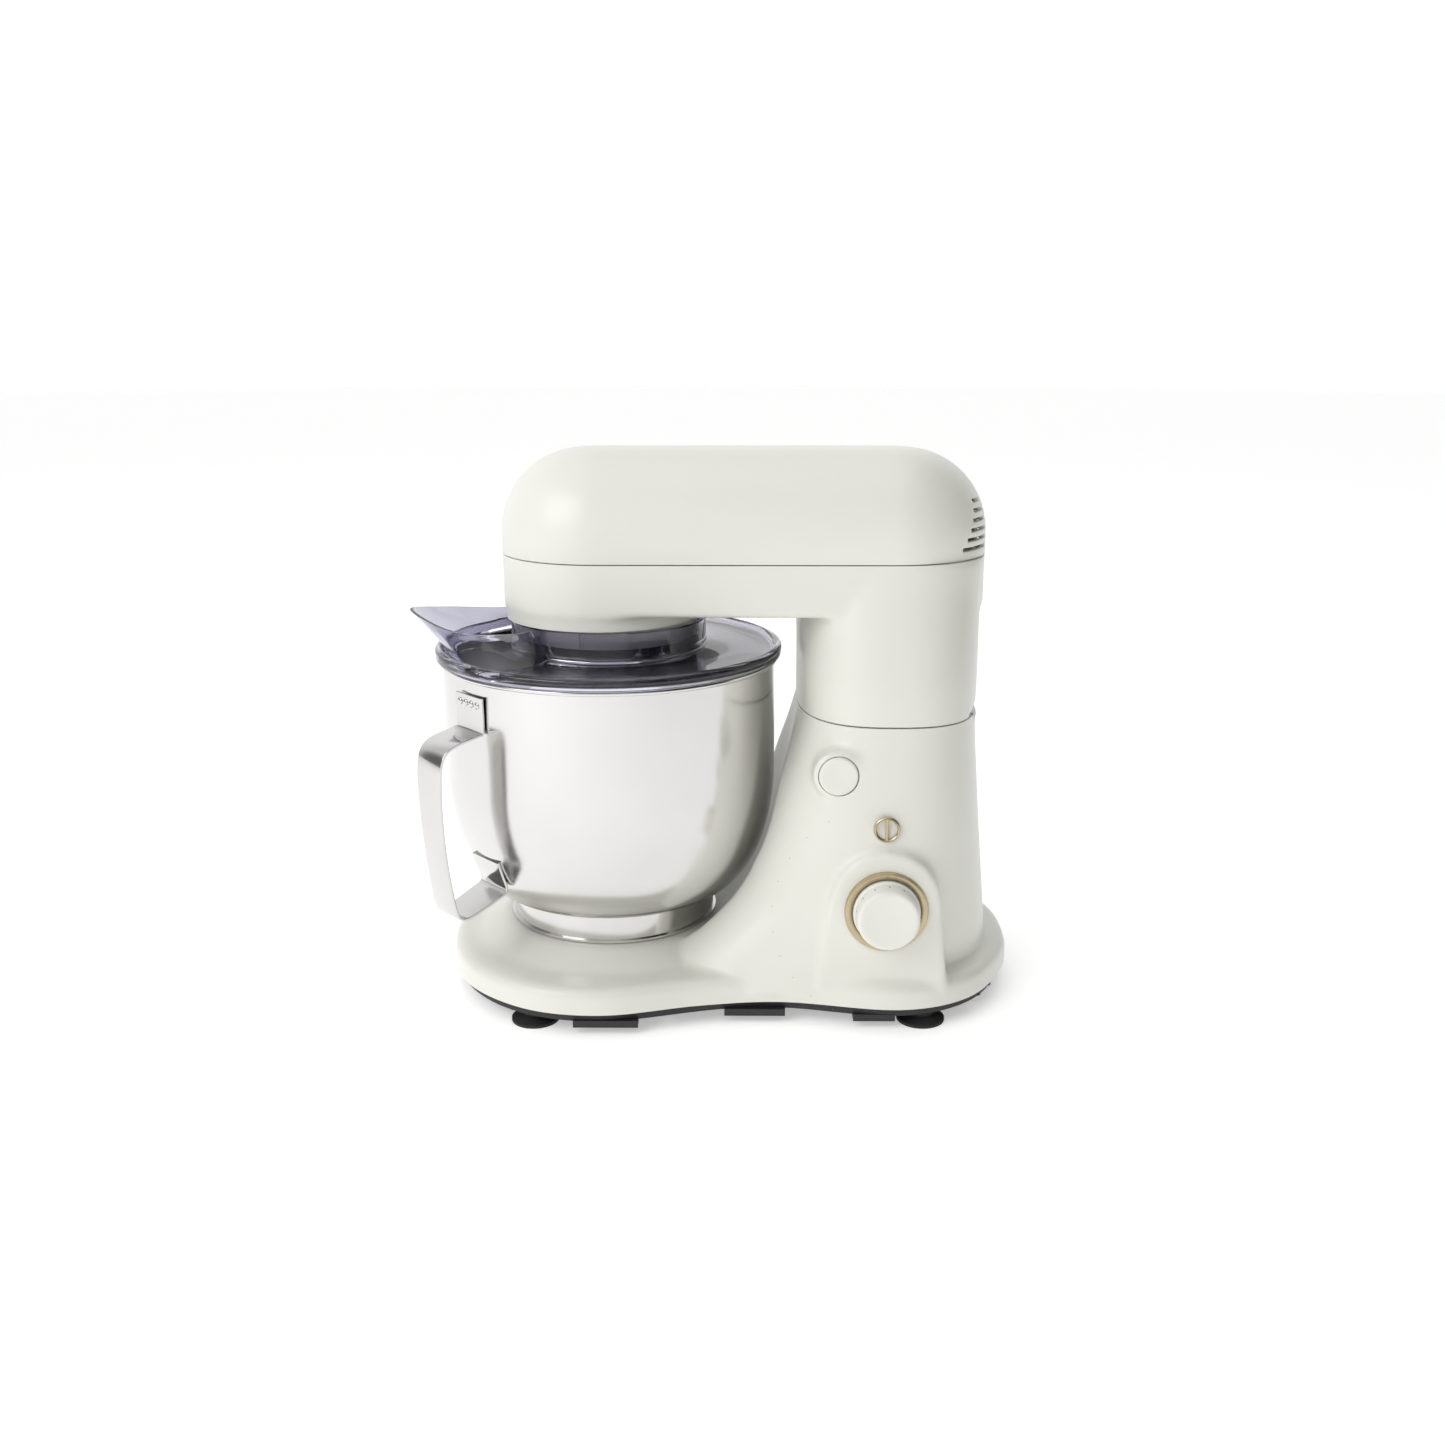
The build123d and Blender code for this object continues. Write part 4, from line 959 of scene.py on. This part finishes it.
@dataclass
class Handle:
    """Folded strap handle, its wall plates and its rivets."""

    azimuth: float = 223.0
    thick: float = 1.8
    path: tuple = ((108.5, 206.0), (108.5, 186.0), (112.0, 183.6), (127.0, 180.6), (134.5, 176.5),
                   (138.2, 168.0), (139.2, 152.0), (138.6, 130.0), (136.8, 108.0), (133.8, 86.0),
                   (131.5, 74.0), (128.6, 69.6), (122.0, 69.8), (104.0, 76.2), (97.5, 79.0),
                   (96.0, 82.2), (98.9, 91.0), (101.6, 100.0))
    widths: tuple = (28.0, 28.0, 28.0, 27.5, 26.5, 25.5, 24.5, 23.5, 23.0, 23.5, 24.5, 25.5, 26.5,
                     28.0, 28.0, 28.0, 28.0, 28.0)
    rivets: tuple = (-9.0, -3.0, 3.0, 9.0)
    corner: float = 0.55
    rivet_radius: float = 2.2
    rivet_rise: float = 0.9
    rivet_place: tuple = (109.35, 201.0)

    def section(self, row: Sequence[float], along: Vector) -> Ring:
        """Rounded strap section across the path."""
        r, z, width = row
        out = Vector((along.y, -along.x))
        half, deep, corner = width / 2, self.thick / 2, self.corner
        ring = []
        for side, lift, start in ((1, 1, 0), (-1, 1, 90), (-1, -1, 180), (1, -1, 270)):
            for step in range(4):
                a = math.radians(start + 30 * step)
                across = side * (half - corner) + corner * math.cos(a)
                up = lift * (deep - corner) + corner * math.sin(a)
                ring.append(self.place(r + out.x * up, across, z + out.y * up))
        return ring

    def place(self, r: float, across: float, z: float) -> Vector:
        """Point at a radius and height on the handle's side of the bowl."""
        a = math.radians(self.azimuth)
        c, s = math.cos(a), math.sin(a)
        return spot(r * c - across * s, r * s + across * c, z)

    def build(self) -> None:
        """Builds the strap and its rivets."""
        rows = smooth_rows([(*point, width) for point, width in zip(self.path, self.widths)], 5)
        rings = []
        for index, row in enumerate(rows):
            before, after = rows[max(index - 1, 0)], rows[min(index + 1, len(rows) - 1)]
            along = Vector((after[0] - before[0], after[1] - before[1])).normalized()
            rings.append(self.section(row, along))
        finished(loft("handle_strap", rings), "bowl", "polished_steel", ["bowl_handle"], angle=35)
        heads = [self.rivet(across) for across in self.rivets]
        piece = merged(heads)
        piece.name = "handle_rivet_heads"
        finished(piece, "bowl", "polished_steel", ["handle_rivets"], angle=50)

    def rivet(self, across: float) -> bpy.types.Object:
        """Domed rivet head on the wall plate."""
        dome = [(self.rivet_radius, 0.0)]
        for angle in (math.radians(a) for a in (0, 20, 40, 60, 80)):
            lift = 0.2 + self.rivet_rise * math.sin(angle)
            dome.append((self.rivet_radius * math.cos(angle), lift))
        piece = centred_lathe("rivet", dome, 24)
        outward = Matrix.Rotation(math.radians(90), 4, "Y")
        turn = Matrix.Rotation(math.radians(self.azimuth), 4, "Z") @ outward
        radius, z = self.rivet_place
        piece.data.transform(Matrix.Translation(self.place(radius, across, z)) @ turn)
        return piece


@dataclass
class Guard:
    """Smoked clear guard with its pouring chute."""

    collar: float = 62.5
    top: float = 241.2
    wall: float = 2.1
    low: tuple = ((-32.0, -53.0, 222.4), (-57.0, -88.5, 220.4), (-80.0, -66.5, 220.2),
                  (-95.0, -38.0, 219.8), (-102.0, 0.0, 219.4))
    high: tuple = ((-42.0, -47.0, 240.8), (-72.0, -48.0, 237.2), (-92.0, -42.5, 238.0),
                   (-110.0, -29.0, 241.0), (-128.3, 0.0, 245.2))

    def build(self) -> None:
        """Builds the cover and the chute."""
        chute, opening = self.chute()
        cover = lathe("guard_cover", self.cover_profile(), count=144, loop=True)
        carve(cover, opening)
        finished(cover, "guard", "smoked_clear", ["splash_guard"], angle=40)
        finished(chute, "guard", "smoked_clear", angle=38)

    def cover_profile(self) -> list[tuple[float, float]]:
        """Flange, sloping cover, collar and skirt as one closed section."""
        return [(103.4, 219.4), (103.4, 211.4), (103.0, 211.0), (102.0, 211.0), (101.6, 211.4),
                (101.6, 220.6), (60.4, 221.8), (60.4, self.top - 0.6), (61.0, self.top),
                (61.9, self.top), (self.collar, self.top - 0.6), (self.collar, 226.0),
                (63.4, 224.6), (65.0, 224.0), (84.0, 223.3), (104.4, 222.6), (105.6, 222.8),
                (106.6, 224.3), (107.6, 224.8), (108.6, 224.7), (110.2, 224.0), (111.2, 223.2),
                (111.5, 222.4), (111.5, 218.4), (111.2, 217.6), (110.4, 217.4), (108.4, 218.6),
                (106.0, 219.4)]

    def ring(self, share: float, inset: float) -> Ring:
        """Chute's outline at a share of the way from its foot to its lip."""
        half = []
        for number, (low, high) in enumerate(zip(self.low, self.high)):
            flare = 0.22 * number * (number < 3)
            steepness = 1.0 + flare + 0.5 * (number in (1, 2))
            pull = 1 - (1 - share) ** steepness
            x, y = (low[k] + (high[k] - low[k]) * pull for k in (0, 1))
            half.append((x, y, low[2] + (high[2] - low[2]) * share))
        half.reverse()
        points = half + [(x, -y, z) for x, y, z in reversed(half[1:])]
        return [spot(*point) for point in inset_curve(closed_curve(points, 10), inset)]

    def chute(self) -> tuple[bpy.types.Object, bpy.types.Object]:
        """Pouring chute, and the solid that opens the cover under it.

        Returns:
            The chute and the cutting solid.
        """
        shares = [step / 10 for step in range(11)]
        outer = [self.ring(share, 0) for share in shares]
        inner = [self.ring(share, self.wall) for share in reversed(shares)]
        chute = loft("guard_chute", outer + inner, loop=True)
        clear = lathe("clear", [(self.collar + 0.1, 200), (self.collar + 0.1, 262)], count=144)
        carve(chute, clear)
        carve(chute, lathe("drum_clear", [(64.2, 236), (64.2, 262)], x=-3.8, count=96))
        deep = Vector((0, 0, 14 * MM))
        opening = loft("opening", [[p - deep for p in outer[0]], outer[0], outer[2]])
        keep = lathe("keep", [(self.collar + 0.05, 200), (self.collar + 0.05, 262)], count=144)
        carve(opening, keep)
        return chute, opening


@dataclass
class SpeedDial:
    """Speed knob with its printed scale, the metal ring and the ornament."""

    badge: tuple = (173.4, -92.6, 127.4)
    marks: int = 12
    first_mark: float = 196.0
    mark_pitch: float = 13.5
    tick_height: float = 6.2
    numeral_height: float = 9.3
    numeral_size: float = 2.6
    numeral_radius: float = 19.32
    dot_radius: float = 23.2

    def build(self) -> None:
        """Builds the dial's pieces."""
        self.knob()
        self.scale()
        self.bezel()
        self.ornament()

    def knob(self) -> None:
        """Two-step knob with a soft edge and a slightly dished face."""
        profile = [(1.0, 0.6), (20.2, 0.6), (20.5, 0.9), (20.5, 4.3), (20.3, 4.8), (19.9, 5.1),
                   (19.55, 5.4), (19.45, 5.9), (19.0, 14.9), (18.7, 15.9), (18.1, 16.6),
                   (17.2, 16.95), (16.2, 17.0), (15.0, 16.9), (11.0, 16.45), (6.0, 16.15),
                   (1.0, 16.05)]
        piece = turned_to_side(centred_lathe("knob_body", profile, 128), *KNOB_PLACE)
        finished(piece, "knob", "shell_white", ["speed_knob"], angle=55, finish=KNOB_WHITE)

    def scale(self) -> None:
        """Printed ticks and numbers around the knob's wall."""
        marks = []
        for number in range(self.marks):
            angle = math.radians(self.first_mark - self.mark_pitch * number)
            tick = bar("tick", (-0.16, 19.3, 0.0), (0.16, 19.47, 1.1))
            marks.append(self.on_wall(tick, angle, self.tick_height))
            if number % 2 == 0:
                numeral = self.numeral(str(number // 2))
                marks.append(self.on_wall(numeral, angle, self.numeral_height))
        piece = merged(marks)
        piece.name = "dial_scale"
        turned_to_side(piece, *KNOB_PLACE)
        finished(piece, "knob", "shell_white", angle=30, finish=PRINTED_GREY)

    def on_wall(self, mark: bpy.types.Object, angle: float, height: float) -> bpy.types.Object:
        """Sets a mark, made at the top of the wall, round the knob and up its wall."""
        turn = Matrix.Rotation(angle - math.radians(90), 4, "Z")
        mark.data.transform(turn @ Matrix.Translation((0, 0, height * MM)))
        return mark

    def numeral(self, text: str) -> bpy.types.Object:
        """Thin printed numeral that faces outwards at the top of the wall."""
        deselect()
        bpy.ops.object.text_add()
        piece = bpy.context.object
        piece.data.body = text
        piece.data.size = self.numeral_size * MM
        piece.data.align_x = "CENTER"
        piece.data.align_y = "CENTER"
        piece.data.extrude = 0.05 * MM
        piece.data.resolution_u = 3
        bpy.ops.object.convert(target="MESH")
        piece = bpy.context.object
        upright = Matrix.Rotation(math.radians(90), 4, "X")
        stand = Matrix.Rotation(math.radians(180), 4, "Z") @ upright
        piece.data.transform(Matrix.Translation((0, self.numeral_radius * MM, 0)) @ stand)
        return piece

    def bezel(self) -> None:
        """Metal ring with a rounded crown and its index dot."""
        profile = [(21.0, 0.0), (21.0, 1.7), (21.3, 2.1), (22.2, 2.5), (23.2, 2.6), (24.3, 2.5),
                   (25.2, 2.1), (25.5, 1.6), (25.5, 0.0)]
        piece = centred_lathe("dial_ring", profile, 128, loop=True)
        dot = centred_lathe("dot", [(0.95, 1.9), (0.95, 4.0)], 24)
        dot.data.transform(Matrix.Translation((0, self.dot_radius * MM, 0)))
        carve(piece, dot)
        turned_to_side(piece, *KNOB_PLACE)
        finished(piece, "stand", "antique_gold", ["dial_bezel"], angle=35)

    def ornament(self) -> None:
        """Ring and bar ornament above the knob."""
        profile = [(6.4, 0.0), (6.4, 1.1), (6.8, 1.6), (7.2, 1.8), (7.6, 1.6), (8.0, 1.1),
                   (8.0, 0.0)]
        ring = centred_lathe("ornament", profile, 96, loop=True)
        strip = []
        for height, half in ((0.0, 1.0), (1.1, 1.0), (1.5, 0.5)):
            strip.append([Vector((x * MM, y * MM, height * MM)) for x, y in
                          ((-half, -6.7), (half, -6.7), (half, 6.7), (-half, 6.7))])
        piece = merged([ring, loft("strip", strip)])
        piece.name = "ornament"
        turned_to_side(piece, *self.badge)
        finished(piece, "stand", "antique_gold", ["side_badge"], angle=30)


@dataclass
class PushButton:
    """Round release button with a soft edge."""

    radius: float = 12.0
    edge: float = 1.4

    def build(self) -> None:
        """Builds the cap and its skirt."""
        profile = [(1.0, -6.0), (self.radius, -6.0), (self.radius, 0.2)]
        profile += arc(self.radius - self.edge, 0.2, self.edge, 0, 90, 6)[1:]
        profile += [(8.0, 1.55), (1.0, 1.3)]
        piece = turned_to_side(centred_lathe("button_cap", profile, 96), *BUTTON_PLACE)
        finished(piece, "button", "shell_white", ["release_button"], angle=50, finish=KNOB_WHITE)


def dress_frame() -> None:
    """Gives every shown CAD node the finish of its slot."""
    for entry in frame["record"]["subparts"]:
        paint_node(frame["nodes"][entry["node"]], entry["material_slot"])


def paint_node(node: bpy.types.Object, slot: str) -> None:
    """Puts a slot's finish on a CAD node."""
    made = material(SLOT_FINISH[slot])
    if not node.material_slots:
        node.data.materials.append(made)
    for holder in node.material_slots:
        holder.material = made


def main() -> None:
    """Builds the scene."""
    logging.basicConfig(level=logging.INFO, format="%(message)s")
    Studio().build()
    dress_frame()
    for assembly in (Pedestal(), Head(), Bowl(), Handle(), Guard(), SpeedDial(), PushButton()):
        LOG.info("building %s", type(assembly).__name__)
        assembly.build()
    deselect()
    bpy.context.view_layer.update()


if __name__ == "__main__":
    main()
